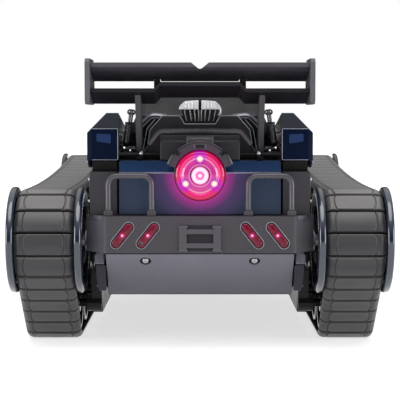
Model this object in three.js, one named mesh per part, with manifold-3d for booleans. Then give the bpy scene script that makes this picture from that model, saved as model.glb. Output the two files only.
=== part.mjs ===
// Tracked chassis of a radio-controlled drift tank: two rubber tracks on rigid wheel sets, a tub with
// its drive train and battery, blue body panels, a spray lamp at the tail and a two-blade wing.
// Millimetres, +X to the right, +Y forward, +Z up. The origin is on the ground, under the middle of the box.
import * as THREE from "three";
import { ConvexGeometry } from "three/addons/geometries/ConvexGeometry.js";
import { mergeVertices } from "three/addons/utils/BufferGeometryUtils.js";
import Module from "manifold-3d";

const wasm = await Module();
wasm.setup();

// ---------------------------------------------------------------- driving dimensions

const HALF_LENGTH = 200;
const HALF_WIDTH = 122.5;
const GAP = 0.3; // between pieces that touch

const BELT = { inner: 80, outer: 117, band: 2, pad: 2.5, pitch: 13.4, groove: 1.6, slack: 0.0485 };
const BELT_THICKNESS = BELT.band + BELT.pad;
const FLANGE_R = 34.5;
const BIG_WHEEL_R = 28;
const ROAD_WHEEL_R = 19;
const BELT_CLEARANCE = 0.6; // between a wheel's tread and the belt's inner face
const ROAD_AXLE_Z = BELT_THICKNESS + BELT_CLEARANCE + ROAD_WHEEL_R;
const ROAD_WHEEL_YS = [-124, -81, -38, 5, 48];
const DRIVE_AXLE = [-HALF_LENGTH + FLANGE_R, 70.5];
const IDLER_AXLE = [HALF_LENGTH - FLANGE_R, 83.3];
const BELT_CENTRE_X = (BELT.inner + BELT.outer) / 2;
const ROAD_STUB_R = 3;
const MAIN_AXLE_R = 4;
const BORE_CLEARANCE = 0.3;

const TUB = { halfWidth: 60, floor: 34, rim: 63.7, wall: 2, rearBottom: -160.5, frontBottom: 118 };
const REAR_RAKE = -0.936; // y per z of the tub's tail, which leans out as it rises
const FRONT_RAKE = 1.077; // y per z of the tub's nose
const DECK = { bottom: 64, top: 88.2, wideX: 70, narrowX: 60, rear: -185, shoulder: 100, front: 158 };
const BODY_X = 51.8; // half width of the panels between the corner boxes
const BODY_BASE = DECK.top + GAP;
const SHELL = 2; // wall of every moulded shell

const LAMP = { z: 113.6, lensR: 15.6, collarR: 21.3, nozzleR: 5.6, boreR: 2.6 };
const WING = { halfSpan: 68.4, plate: 3.2, leading: -165, trailing: -195, strutX: 39.2, strut: 3.6 };
const MODULE = 1.2; // gear teeth
const GEAR_TEETH = 24;
const PINION_TEETH = 8;
const GEAR_X = [40.5, 46.5];

// ---------------------------------------------------------------- materials

const finish = (color, roughness, metalness = 0) => new THREE.MeshStandardMaterial({ color, roughness, metalness });
const TRACK_RUBBER = finish(0x3a3a3c, 0.75);
const BLACK_PLASTIC = finish(0x17171a, 0.45);
const DARK_PLASTIC = finish(0x45454a, 0.5);
const GREY_PLASTIC = finish(0x6f6e78, 0.4);
const BLUE_PLASTIC = finish(0x1c3354, 0.3);
const RING_PLASTIC = finish(0x44506a, 0.3);
const CLEAR_RED = finish(0xd8206a, 0.15);
const CHROME = finish(0xe6e6ea, 0.15, 0.9);
const STEEL = finish(0xa0a0a6, 0.3, 1);
const BOARD_GREEN = finish(0x1f5a34, 0.5);
const CELL_WRAP = finish(0x2a6fb0, 0.4);

// ---------------------------------------------------------------- solids

// A three.js geometry as a manifold-3d solid, and back.
function solidOf(geometry) {
  const bare = geometry.index ? geometry.toNonIndexed() : geometry.clone();
  bare.deleteAttribute("normal");
  bare.deleteAttribute("uv");
  const merged = mergeVertices(bare, 1e-3);
  const mesh = new wasm.Mesh({
    numProp: 3,
    vertProperties: merged.attributes.position.array,
    triVerts: new Uint32Array(merged.index.array),
  });
  return new wasm.Manifold(mesh);
}

function geometryOf(solid) {
  const { vertProperties, triVerts } = solid.getMesh();
  const geometry = new THREE.BufferGeometry();
  geometry.setAttribute("position", new THREE.BufferAttribute(vertProperties, 3));
  geometry.setIndex(new THREE.BufferAttribute(triVerts, 1));
  return geometry;
}

const join = (first, ...rest) => geometryOf(rest.reduce((sum, g) => sum.add(solidOf(g)), solidOf(first)));
const cut = (first, ...rest) => geometryOf(rest.reduce((sum, g) => sum.subtract(solidOf(g)), solidOf(first)));

const AXIS_X = new THREE.Vector3(1, 0, 0);
const AXIS_Y = new THREE.Vector3(0, 1, 0);
const AXIS_Z = new THREE.Vector3(0, 0, 1);

function extrusion(outline, depth, basis) {
  const shape = Array.isArray(outline)
    ? new THREE.Shape(outline.map(([a, b]) => new THREE.Vector2(a, b)))
    : outline;
  const options = { depth, bevelEnabled: false, curveSegments: 6 };
  return new THREE.ExtrudeGeometry(shape, options).applyMatrix4(new THREE.Matrix4().makeBasis(...basis));
}

// Prisms: an outline in (y, z), (x, z) or (x, y), run along the remaining axis.
const prismX = (outline, x0, x1) => extrusion(outline, x1 - x0, [AXIS_Y, AXIS_Z, AXIS_X]).translate(x0, 0, 0);
const prismY = (outline, y0, y1) =>
  extrusion(outline, y1 - y0, [AXIS_X, AXIS_Z, AXIS_Y.clone().negate()]).translate(0, y1, 0);
const prismZ = (outline, z0, z1) => extrusion(outline, z1 - z0, [AXIS_X, AXIS_Y, AXIS_Z]).translate(0, 0, z0);

function block(x0, x1, y0, y1, z0, z1) {
  const box = new THREE.BoxGeometry(x1 - x0, y1 - y0, z1 - z0);
  return box.translate((x0 + x1) / 2, (y0 + y1) / 2, (z0 + z1) / 2);
}

// A round bar along X or Y, centred on (y, z) or (x, z).
function barX(radius, x0, x1, [y, z], sides = 12) {
  const bar = new THREE.CylinderGeometry(radius, radius, x1 - x0, sides).rotateZ(-Math.PI / 2);
  return bar.translate((x0 + x1) / 2, y, z);
}

function barY(radius, y0, y1, [x, z], sides = 24) {
  return new THREE.CylinderGeometry(radius, radius, y1 - y0, sides).translate(x, (y0 + y1) / 2, z);
}

// A turned solid on the X axis, from a closed profile of [x, radius] that goes up its outside.
function turnedX(profile, sides = 24) {
  const closed = [...profile, profile[0]].map(([x, r]) => new THREE.Vector2(r, x));
  return new THREE.LatheGeometry(closed, sides).rotateZ(-Math.PI / 2);
}

// A bent tube through the points, its corners rounded to the given radius.
function tube(points, radius, bend, steps) {
  const path = new THREE.CurvePath();
  const corners = points.map((p) => new THREE.Vector3(...p));
  let from = corners[0];
  for (let i = 1; i < corners.length - 1; i++) {
    const into = corners[i - 1].clone().sub(corners[i]).setLength(bend).add(corners[i]);
    const out = corners[i + 1].clone().sub(corners[i]).setLength(bend).add(corners[i]);
    path.add(new THREE.LineCurve3(from, into));
    path.add(new THREE.QuadraticBezierCurve3(into, corners[i], out));
    from = out;
  }
  path.add(new THREE.LineCurve3(from, corners.at(-1)));
  const section = new THREE.Shape().absarc(0, 0, radius, 0, 2 * Math.PI, false);
  return new THREE.ExtrudeGeometry(section, { steps, curveSegments: 8, bevelEnabled: false, extrudePath: path });
}

function add(parent, name, geometry, material, position = [0, 0, 0]) {
  const mesh = new THREE.Mesh(geometry, material);
  mesh.name = name;
  mesh.position.set(...position);
  parent.add(mesh);
}

// ---------------------------------------------------------------- tracks

// The belt's inner face as a closed path in (y, z): along the ground, up the nose, round the idler, back along
// the slack top run, round the drive wheel and down the tail.
function beltPath() {
  const ring = (centre, wheelR) => ({ centre, r: wheelR + BELT_CLEARANCE });
  const rear = ring([ROAD_WHEEL_YS[0], ROAD_AXLE_Z], ROAD_WHEEL_R);
  const fore = ring([ROAD_WHEEL_YS.at(-1), ROAD_AXLE_Z], ROAD_WHEEL_R);
  const idler = ring(IDLER_AXLE, BIG_WHEEL_R);
  const drive = ring(DRIVE_AXLE, BIG_WHEEL_R);
  const heading = (a, b) => {
    const dy = b.centre[0] - a.centre[0];
    const dz = b.centre[1] - a.centre[1];
    return Math.atan2(dz, dy) + Math.asin((a.r - b.r) / Math.hypot(dy, dz));
  };
  const touch = (ring_, angle) =>
    new THREE.Vector2(ring_.centre[0] + ring_.r * Math.sin(angle), ring_.centre[1] - ring_.r * Math.cos(angle));
  const arc = (ring_, a0, a1) => new THREE.ArcCurve(...ring_.centre, ring_.r, a0 - Math.PI / 2, a1 - Math.PI / 2);
  const nose = heading(fore, idler);
  const top = heading(idler, drive) + (heading(idler, drive) < 0 ? 2 * Math.PI : 0);
  const tail = heading(drive, rear);
  const leaving = top + BELT.slack;
  const landing = top - BELT.slack;
  const start = touch(idler, leaving);
  const end = touch(drive, landing);
  const middle = start.clone().add(end).multiplyScalar(0.5);
  middle.y -= (start.distanceTo(end) / 2) * Math.tan(BELT.slack); // the corner of both end tangents
  const path = new THREE.CurvePath();
  path.add(new THREE.LineCurve(touch(rear, 0), touch(fore, 0)));
  path.add(arc(fore, 0, nose));
  path.add(new THREE.LineCurve(touch(fore, nose), touch(idler, nose)));
  path.add(arc(idler, nose, leaving));
  path.add(new THREE.QuadraticBezierCurve(start, middle, end));
  path.add(arc(drive, landing, tail + 2 * Math.PI));
  path.add(new THREE.LineCurve(touch(drive, tail), touch(rear, tail)));
  path.add(arc(rear, tail, 0));
  return path;
}

// The closed belt: a band with one raised pad per link, and its smooth inner face.
function beltGeometry() {
  const path = beltPath();
  const length = path.getLength();
  const links = Math.round(length / BELT.pitch);
  const offsetPoint = (distance, height) => {
    const t = (((distance / length) % 1) + 1) % 1;
    const direction = path.getTangent(t);
    return path.getPoint(t).add(new THREE.Vector2(direction.y, -direction.x).multiplyScalar(height));
  };
  const outside = [];
  for (let i = 0; i < links; i++) {
    const from = (i * length) / links + BELT.groove / 2;
    const to = ((i + 1) * length) / links - BELT.groove / 2;
    outside.push(offsetPoint(from, BELT.band), offsetPoint(from, BELT_THICKNESS));
    outside.push(offsetPoint(to, BELT_THICKNESS), offsetPoint(to, BELT.band));
  }
  const inside = [];
  const ARC_STEP = Math.PI / 18;
  for (const curve of path.curves) {
    const turn = curve.isArcCurve ? Math.abs(curve.aEndAngle - curve.aStartAngle) : 0;
    const steps = curve.isQuadraticBezierCurve ? 6 : Math.max(1, Math.ceil(turn / ARC_STEP));
    for (let i = 0; i < steps; i++) inside.push(curve.getPoint(i / steps));
  }
  const shape = new THREE.Shape(outside);
  shape.holes.push(new THREE.Path(inside));
  return prismX(shape, BELT.inner, BELT.outer);
}

// ---------------------------------------------------------------- wheels and axles

// Profiles run along X from the wheel's own centre plane.
const TREAD_HALF = (BELT.outer - BELT.inner) / 2;

function driveWheel() {
  const bore = MAIN_AXLE_R + BORE_CLEARANCE;
  return turnedX([
    [-16, bore], [-16, 9], [-6, 9], [-6, 24], [-TREAD_HALF, 24], [-TREAD_HALF, BIG_WHEEL_R],
    [TREAD_HALF, BIG_WHEEL_R], [TREAD_HALF, 24], [8, 24], [8, 9], [16, 9], [16, bore],
  ]);
}

function idlerWheel() {
  const bore = MAIN_AXLE_R + BORE_CLEARANCE;
  const face = TREAD_HALF + 0.4;
  return turnedX([
    [-16, bore], [-16, 9], [-8, 23], [-face - 4, 23], [-face - 4, FLANGE_R], [-face, FLANGE_R], [-face, BIG_WHEEL_R],
    [face, BIG_WHEEL_R], [face, FLANGE_R], [face + 4, FLANGE_R], [face + 4, 23], [8, 23], [16, 9], [16, bore],
  ]);
}

function roadWheel() {
  const bore = ROAD_STUB_R + BORE_CLEARANCE;
  return turnedX([
    [-16.5, bore], [-17.5, ROAD_WHEEL_R], [17.5, ROAD_WHEEL_R], [17.5, 16], [10, 15], [10, 7], [16, 6], [16, bore],
  ], 20);
}

// The coloured ring that is screwed to a drive wheel's face; it stands proud of the belt.
function wheelRing() {
  return turnedX([
    [0, 22], [0, FLANGE_R - 0.8], [1.3, FLANGE_R], [3.8, FLANGE_R], [5.1, FLANGE_R - 1.2], [5.1, 30.5], [2.2, 28],
    [2.2, 22],
  ]);
}

function gearOutline(teeth) {
  const pitchR = (teeth * MODULE) / 2;
  const half = Math.PI / teeth / 2;
  const corners = [[-1.1, -1.15], [0.8, -0.45], [0.8, 0.45], [-1.1, 1.15]]; // height in modules, share of half
  const points = [];
  for (let i = 0; i < teeth; i++) {
    for (const [height, share] of corners) {
      const angle = (i * 2 * Math.PI) / teeth + share * half;
      const r = pitchR + height * MODULE;
      points.push([r * Math.cos(angle), r * Math.sin(angle)]);
    }
  }
  return points;
}

// The axle that carries the drive wheel, with its spur gear moulded on; on its own axis.
function driveAxle() {
  const shaft = barX(MAIN_AXLE_R, 30, BELT.outer + 0.8, [0, 0]);
  const shoulder = barX(7, 71.5, 74.5, [0, 0]);
  return join(shaft, shoulder, prismX(gearOutline(GEAR_TEETH), ...GEAR_X));
}

function motorPinion() {
  const teeth = prismX(gearOutline(PINION_TEETH), ...GEAR_X);
  teeth.rotateX(Math.PI / PINION_TEETH); // a gap faces the gear's tooth
  return join(teeth, barX(2, GEAR_X[0] - 0.8, GEAR_X[1] + 1.5, [0, 0]));
}

function motor() {
  const can = barX(11, 8, 36, [0, 0], 20);
  return join(can, barX(4, 36, GEAR_X[0] - 1.2, [0, 0]));
}

// The moulded plate along the hull that carries the idler's stub axle, and the lower rail, further out, that
// carries the road wheels' stub axles.
function sideFrame() {
  const outline = [
    [-150, 36], [62, 36], [112, 40], [168, 67], [181, 75], [181, 91], [168, 98], [150, 95], [104, 62], [96, 57],
    [-168, 57], [-175, 52], [-175, 42],
  ];
  const plate = prismX(outline, TUB.halfWidth + 0.5, TUB.halfWidth + 7);
  const railOutline = [[-131, 30], [-122, 17], [58, 17], [92, 36], [92, 47], [-136, 47]];
  const rail = prismX(railOutline, TUB.halfWidth + 6.5, TUB.halfWidth + 13.5);
  const root = TUB.halfWidth + 6;
  const end = BELT.outer - 3;
  const stubs = ROAD_WHEEL_YS.map((y) => barX(ROAD_STUB_R, root + 1, end, [y, ROAD_AXLE_Z]));
  const collars = ROAD_WHEEL_YS.map((y) => barX(6, root + 1, BELT.inner - 3, [y, ROAD_AXLE_Z]));
  return join(plate, rail, ...stubs, ...collars, barX(MAIN_AXLE_R, root, end, IDLER_AXLE));
}

// ---------------------------------------------------------------- hull

const tailY = (z) => TUB.rearBottom + REAR_RAKE * (z - TUB.floor);
const noseY = (z) => TUB.frontBottom + FRONT_RAKE * (z - TUB.floor);

const BATTERY_BAY = { x: 23, y0: -60, y1: 20 };
const SWITCH = { y0: 46, y1: 54, half: 4.3 };

function chassisTub() {
  const { floor, rim, wall, halfWidth } = TUB;
  const rearInset = wall * Math.hypot(1, REAR_RAKE);
  const frontInset = wall * Math.hypot(1, FRONT_RAKE);
  const low = floor + wall;
  const high = rim + 1;
  const outer = prismX([[tailY(floor), floor], [noseY(floor), floor], [noseY(rim), rim], [tailY(rim), rim]],
    -halfWidth, halfWidth);
  const inner = prismX(
    [[tailY(low) + rearInset, low], [noseY(low) - frontInset, low], [noseY(high) - frontInset, high],
      [tailY(high) + rearInset, high]],
    -halfWidth + wall, halfWidth - wall);
  const bay = block(-BATTERY_BAY.x, BATTERY_BAY.x, BATTERY_BAY.y0, BATTERY_BAY.y1, floor - 1, low + 1);
  const slot = block(-SWITCH.half, SWITCH.half, SWITCH.y0, SWITCH.y1, floor - 1, low + 1);
  return cut(outer, inner, bay, slot);
}

// The grey plate under the tail, against the tub's raked end, with two screw recesses.
function skidPlate() {
  const seat = 0.41;
  const thick = 2.5;
  const bottom = TUB.floor + 1;
  const top = TUB.rim;
  const plate = prismX([
    [tailY(bottom) - seat - thick, bottom], [tailY(bottom) - seat, bottom],
    [tailY(top) - seat, top], [tailY(top) - seat - thick, top],
  ], -TUB.halfWidth + 0.2, TUB.halfWidth - 0.2);
  const recess = (x) => new THREE.CylinderGeometry(3.5, 3.5, 12, 14)
    .rotateX(Math.atan(-1 / REAR_RAKE) - Math.PI / 2 + Math.PI / 2)
    .translate(x, tailY(59.8) - seat, 59.8);
  return cut(plate, recess(-34.7), recess(34.7));
}

// The dark middle of the hull: a lid over the tub with a box along each side.
function hullDeck() {
  const { bottom, top, wideX, narrowX, rear, shoulder, front } = DECK;
  const half = (inset) => [
    [62 - inset, rear + inset], [wideX - inset, rear + 10 + inset], [wideX - inset, shoulder - inset],
    [narrowX - inset, shoulder - inset], [narrowX - inset, front - inset],
  ];
  const plan = (inset) => [...half(inset), ...half(inset).map(([x, y]) => [-x, y]).reverse()];
  const well = TUB.halfWidth - TUB.wall;
  const sideBox = (x0, x1, inset) => prismX([
    [rear + 11 + inset, top - 2.5], [rear + 11 + inset, top], [rear + inset, top], [rear + inset, 115.4 - inset],
    [-20, 115.4 - inset], [60 - inset, 104 - inset], [94 - 2 * inset, top - 2.5],
  ], x0, x1);
  const lid = prismZ(plan(0), bottom, top);
  const room = prismZ(plan(SHELL), bottom + SHELL, top - SHELL);
  const mouth = block(-well, well, rear + SHELL, front - SHELL, bottom - 1, bottom + SHELL + 1);
  const boxes = [sideBox(BODY_X + 0.9, wideX, 0), sideBox(-wideX, -BODY_X - 0.9, 0)];
  const hollows = [
    sideBox(BODY_X + 0.9 + SHELL, wideX - SHELL, SHELL), sideBox(-wideX + SHELL, -BODY_X - 0.9 - SHELL, SHELL),
  ];
  const axleHole = barX(MAIN_AXLE_R + 1.2, -wideX - 1, wideX + 1, DRIVE_AXLE);
  return cut(join(lid, ...boxes), room, mouth, ...hollows, axleHole);
}

// ---------------------------------------------------------------- tail

const BUMPER = { face: -196, back: -185.4, bottom: 64.6, top: 87.9, flatX: 60.4, endX: 73, endY: -178 };
const TAIL_LIGHT = { xs: [32.8, 48.9], z: 75.9, half: 6.5, r: 2.6, lean: THREE.MathUtils.degToRad(51.5) };

// A capsule in (x, z) that leans towards the middle of the tail on either side.
function capsule(x, radius) {
  const inward = -Math.sign(x);
  const dx = inward * TAIL_LIGHT.half * Math.cos(TAIL_LIGHT.lean);
  const dz = TAIL_LIGHT.half * Math.sin(TAIL_LIGHT.lean);
  const axis = Math.atan2(dz, dx);
  const shape = new THREE.Shape();
  shape.absarc(x + dx, TAIL_LIGHT.z + dz, radius, axis - Math.PI / 2, axis + Math.PI / 2, false);
  shape.absarc(x - dx, TAIL_LIGHT.z - dz, radius, axis + Math.PI / 2, axis + 1.5 * Math.PI, false);
  return shape;
}

function rearBumper() {
  const { face, back, bottom, top, flatX, endX, endY } = BUMPER;
  const half = [[flatX, face], [endX, endY], [endX, -175.15], [70.4, -175.15], [62.2, back]];
  const outer = prismZ([...half, ...half.map(([x, y]) => [-x, y]).reverse()], bottom, top);
  const wall = 2.2;
  const hollow = prismZ([[-58, face + wall], [58, face + wall], [65, back + 1], [-65, back + 1]],
    bottom + wall, top - wall);
  const windows = TAIL_LIGHT.xs.flatMap((x) => [x, -x]).map((x) =>
    prismY(capsule(x, TAIL_LIGHT.r + GAP), face - 1, face + wall + 1));
  const posts = [-10.7, 10.7].map((x) => block(x - 2.2, x + 2.2, face - 1.4, face + 1, 66, 81.8));
  const rungs = [69.5, 78.3].map((z) => block(-10, 10, face - 0.8, face + 1, z - 1.5, z + 1.5));
  return join(cut(outer, hollow, ...windows), ...posts, ...rungs);
}

function tailLamp() {
  const face = BUMPER.face - 0.8;
  const inside = BUMPER.face + 2.2 + GAP;
  const lenses = TAIL_LIGHT.xs.map((x) => prismY(capsule(x, TAIL_LIGHT.r), face, inside + 1.5));
  const backing = block(28, 54, inside, inside + 1.6, TAIL_LIGHT.z - 3, TAIL_LIGHT.z + 3);
  return join(...lenses, backing);
}

const PANEL = { rear: -187, front: -150, chamferY: -179, chamferZ: 115.5, top: 122, halfWidth: 51.3 };

// The blue tailgate between the corner boxes, chamfered along its top.
function rearPanel() {
  const { rear, front, chamferY, chamferZ, top, halfWidth } = PANEL;
  const outer = prismX([[rear, BODY_BASE], [front, BODY_BASE], [front, top], [chamferY, top], [rear, chamferZ]],
    -halfWidth, halfWidth);
  const inner = prismX([
    [rear + SHELL, BODY_BASE - 1], [front - SHELL, BODY_BASE - 1], [front - SHELL, top - SHELL],
    [chamferY + 0.8, top - SHELL], [rear + SHELL, chamferZ - 0.9],
  ], -halfWidth + SHELL, halfWidth - SHELL);
  return cut(outer, inner, barY(LAMP.nozzleR + 0.7, rear - 5, rear + 12, [0, LAMP.z], 16));
}

// The lamp's back plate, collar over its top, and the grey case behind it that holds the spray unit.
function lampHousing() {
  const { z, collarR, nozzleR } = LAMP;
  const back = PANEL.rear - 0.4;
  const hole = nozzleR + 0.7;
  const collar = new THREE.Shape();
  const lift = THREE.MathUtils.degToRad(18);
  collar.absarc(0, z, collarR, lift, Math.PI - lift, false);
  collar.absarc(0, z, collarR - 4.1, Math.PI - lift, lift, true);
  const wholeCase = join(
    block(-25.5, 25.5, -176, -152, PANEL.top + 0.4, 137.5),
    block(-14, 14, back - 1, -175, PANEL.top + 0.8, 129),
    block(-8.5, 8.5, -192, -175, 131, 137.8),
    barY(17, back - 2, back, [0, z]),
    prismY(collar, -197, back),
  );
  return cut(wholeCase, barY(hole, -200, back + 1, [0, z], 16));
}

// Turned about the lamp's own axis, which runs along Y.
function lampLens() {
  const { lensR, nozzleR } = LAMP;
  const bore = nozzleR + 0.6;
  const back = 189.8;
  const profile = [[back, bore], [back, lensR], [194, lensR], [197.2, 13], [198.2, bore]];
  return turnedX(profile).rotateZ(-Math.PI / 2);
}

function sprayNozzle() {
  const { nozzleR, boreR } = LAMP;
  const profile = [[178, boreR], [178, nozzleR], [198.8, nozzleR], [199.6, nozzleR - 0.8], [199.6, boreR]];
  return turnedX(profile, 16).rotateZ(-Math.PI / 2);
}

const HANDLE = { xs: [30.5, 57.9], y: -191.5, top: 113.2, r: 1.9, socket: 2.8 };

function grabHandle() {
  const [inner, outer] = HANDLE.xs;
  const foot = BUMPER.top + GAP;
  const bow = tube([[inner, HANDLE.y, foot], [inner, HANDLE.y, HANDLE.top], [outer, HANDLE.y, HANDLE.top],
    [outer, HANDLE.y, foot]], HANDLE.r, 6, 26);
  const sockets = HANDLE.xs.map((x) => block(x - HANDLE.socket, x + HANDLE.socket, HANDLE.y - HANDLE.socket,
    HANDLE.y + HANDLE.socket, foot, foot + 3.6));
  return join(bow, ...sockets);
}

function rearCage() {
  const y = -173.5;
  const half = [[52, 126.3], [37.3, 126.3], [26, 141.1]];
  const left = half.map(([x, z]) => [-x, y, z]);
  const right = half.map(([x, z]) => [x, y, z]).reverse();
  return tube([...left, ...right], 1.5, 3, 24);
}

// ---------------------------------------------------------------- upper body

// A side pod's sections along Y: [y, inner x, outer x, bottom, top, chamfer of the outer top edge].
const POD_SECTIONS = [
  [-175, 52.4, 69.7, 122.6, 142.9, 0],
  [-172, 52.4, 72.7, 122.6, 143.1, 3],
  [-160, 53.2, 72.7, 117.5, 144, 3],
  [-34, 60.6, 72.5, 117.5, 153.2, 3],
  [75, 54, 69, 117.5, 128, 4],
];

const hull = (corners) => new ConvexGeometry(corners.map((p) => new THREE.Vector3(...p)));
const bothSides = (corners) => corners.flatMap(([x, y, z]) => [[x, y, z], [-x, y, z]]);

// One convex stretch of a pod; a positive inset gives the hollow under it, open at the bottom.
function podStretch(from, to, inset) {
  const ends = { [POD_SECTIONS[0][0]]: inset, [POD_SECTIONS.at(-1)[0]]: -inset };
  return hull(POD_SECTIONS.slice(from, to + 1).flatMap(([y, inner, outer, bottom, top, chamfer]) => [
    [inner + inset, bottom - 5 * inset], [outer - inset, bottom - 5 * inset], [outer - inset, top - chamfer - inset],
    [outer - chamfer - inset, top - inset], [inner + inset, top - inset],
  ].map(([x, z]) => [x, y + (ends[y] ?? 0), z])));
}

const sidePod = () =>
  cut(join(podStretch(0, 3, 0), podStretch(3, 4, 0)), podStretch(0, 3, SHELL), podStretch(3, 4, SHELL));

function cabinShell() {
  const half = (inset) => [
    [BODY_X - inset, -61.5 + inset, BODY_BASE - inset], [BODY_X - inset, 80 - inset, BODY_BASE - inset],
    [BODY_X - inset, 80 - inset, 124 - inset], [BODY_X - inset, -61.5 + inset, 139 - inset],
    [42 - inset, -58 + inset, 151.5 - inset], [44 - inset, -45 + inset, 154.5 - inset],
    [40 - inset, -42 + inset, 165.5 - inset], [38 - inset, 22 - inset, 164.5 - inset],
  ];
  return cut(hull(bothSides(half(0))), hull(bothSides(half(SHELL))));
}

// The black cover behind the cabin, with a notch across its top where the air intake sits.
function engineCover() {
  const rear = PANEL.front + 0.5;
  const base = block(-BODY_X, BODY_X, rear, -62, BODY_BASE, 126);
  const crown = prismY([
    [-36, 125], [36, 125], [33.5, 141.7], [25.5, 150.9], [13.8, 150.9], [10.4, 145.3], [-10.4, 145.3],
    [-13.8, 150.9], [-25.5, 150.9], [-33.5, 141.7],
  ], -127, -62);
  const room = block(-BODY_X + SHELL, BODY_X - SHELL, rear + SHELL, -62 - SHELL, BODY_BASE - 1, 124);
  const attic = block(-31, 31, -125, -64, 123, 138);
  return cut(join(base, crown), room, attic);
}

function airIntake() {
  const body = prismY([[-10, 145.8], [10, 145.8], [13, 155.4], [-13, 155.4]], -112, -84);
  const scoop = prismY([[-14.6, 155.3], [14.6, 155.3], [13.6, 159.4], [8, 161.7], [-8, 161.7], [-13.6, 159.4]],
    -114, -82);
  const split = block(-0.8, 0.8, -115, -101, 157.5, 163);
  return cut(join(body, scoop), split);
}

function hoodPanel() {
  const outline = (inset) => [
    [80.5 + inset, BODY_BASE - inset], [158 - inset, BODY_BASE - inset], [158 - inset, 97 - inset],
    [140, 106.5 - inset], [80.5 + inset, 123.5 - inset],
  ];
  return cut(prismX(outline(0), -BODY_X, BODY_X), prismX(outline(SHELL), -BODY_X + SHELL, BODY_X - SHELL));
}

function frontBumper() {
  const outer = prismX([[158.4, 66], [166, 62], [181, 66], [184, 80], [178, 90], [158.4, 92]],
    -58, 58);
  const pocket = block(-54, 54, 157, 175, 68, 87);
  return cut(outer, pocket);
}

// ---------------------------------------------------------------- wing

const bladeUnder = (y) => 158.7 + 0.2367 * (WING.leading - y); // the lower blade's underside
const BLADE = 2.5;
const RISER_X = 27.4;

function wingLowerBlade() {
  const { halfSpan, leading, trailing } = WING;
  const blade = (lift) => [
    [leading, bladeUnder(leading) + lift], [leading, bladeUnder(leading) + lift + BLADE],
    [trailing, bladeUnder(trailing) + lift + BLADE], [trailing, bladeUnder(trailing) + lift],
  ];
  const raise = 4;
  const [rampTop, rampFoot] = [25, 28.7];
  const ramp = (sign) => hull([
    ...blade(0).map(([y, z]) => [sign * rampFoot, y, z]), ...blade(raise).map(([y, z]) => [sign * rampTop, y, z]),
  ]);
  const left = prismX(blade(0), -halfSpan, -rampFoot);
  const right = prismX(blade(0), rampFoot, halfSpan);
  const centre = prismX(blade(raise), -rampTop, rampTop);
  const risers = [-RISER_X - 2, RISER_X - 2].map((x) => prismX([
    [-177, bladeUnder(-177) + 2.3], [-169, bladeUnder(-169) + 2.3], [-169, 173], [-177, 175.3],
  ], x, x + 4));
  return join(left, right, centre, ramp(-1), ramp(1), ...risers);
}

function wingUpperBlade() {
  const { halfSpan } = WING;
  const blade = prismX([[-197, 181.5], [-168, 173.1], [-168, 176.1], [-197, 184.3]], -halfSpan, halfSpan);
  const notch = prismY([[-7.4, 184.8], [-5.4, 184.1], [-1.2, 180.7], [0, 180.4], [1.2, 180.7], [5.4, 184.1],
    [7.4, 184.8]], -198, -182);
  const seats = [-RISER_X - 2.3, RISER_X - 2.3].map((x) =>
    prismX([[-179, 175.7], [-167, 172.1], [-167, 173.9], [-179, 177.3]], x, x + 4.6));
  return cut(blade, notch, ...seats);
}

function wingEndplate() {
  const outline = [[-199, 160], [-197, 158.1], [-160, 158.1], [-158, 160], [-158, 182], [-166, 186.8],
    [-197, 186.8], [-199, 184.8]];
  return prismX(outline, WING.halfSpan + GAP, WING.halfSpan + GAP + WING.plate);
}

function wingStrut() {
  const top = (y) => bladeUnder(y) - GAP;
  const base = PANEL.top + GAP;
  return prismX([[-166, base], [-152, base], [-168, top(-168)], [-190, top(-190)]],
    WING.strutX - WING.strut / 2, WING.strutX + WING.strut / 2);
}

// ---------------------------------------------------------------- what the hull holds

function circuitBoard() {
  const board = block(-32, 32, 32, 104, 50, 51.6);
  const chips = [
    block(-10, 8, 60, 78, 51.5, 54), block(-28, -20, 36, 52, 51.5, 60), block(16, 28, 84, 98, 51.5, 58),
  ];
  const posts = [[-26, 40], [26, 40], [-26, 98], [26, 98]].map(([x, y]) =>
    block(x - 2, x + 2, y - 2, y + 2, TUB.floor + TUB.wall + GAP, 50.2));
  return join(board, ...chips, ...posts);
}

function batteryPack() {
  const cells = [-9.3, 9.3].map((x) => new THREE.CylinderGeometry(9, 9, 68, 16).translate(x, -20, 46.5));
  return join(...cells, block(-9, 9, -54, 14, 40, 53));
}

function batteryDoor() {
  const { x, y0, y1 } = BATTERY_BAY;
  const plate = block(-x + GAP, x - GAP, y0 + GAP, y1 - GAP, TUB.floor, TUB.floor + 1.7);
  return cut(plate, new THREE.CylinderGeometry(1.6, 1.6, 6, 12).rotateX(Math.PI / 2).translate(0, y1 - 6, TUB.floor));
}

function doorScrew() {
  const at = BATTERY_BAY.y1 - 6;
  return new THREE.CylinderGeometry(1.3, 1.3, 2.4, 12).rotateX(Math.PI / 2).translate(0, at, TUB.floor + 1.3);
}

function powerSwitch() {
  const knob = block(-SWITCH.half + GAP, 0, SWITCH.y0 + GAP, SWITCH.y1 - GAP, TUB.floor - 2, TUB.floor + 2.5);
  const slider = block(-8, 4, SWITCH.y0 - 2, SWITCH.y1 + 2, TUB.floor + TUB.wall + GAP, TUB.floor + 4);
  return join(knob, slider);
}

// ---------------------------------------------------------------- assembly

const model = new THREE.Group();

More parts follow.
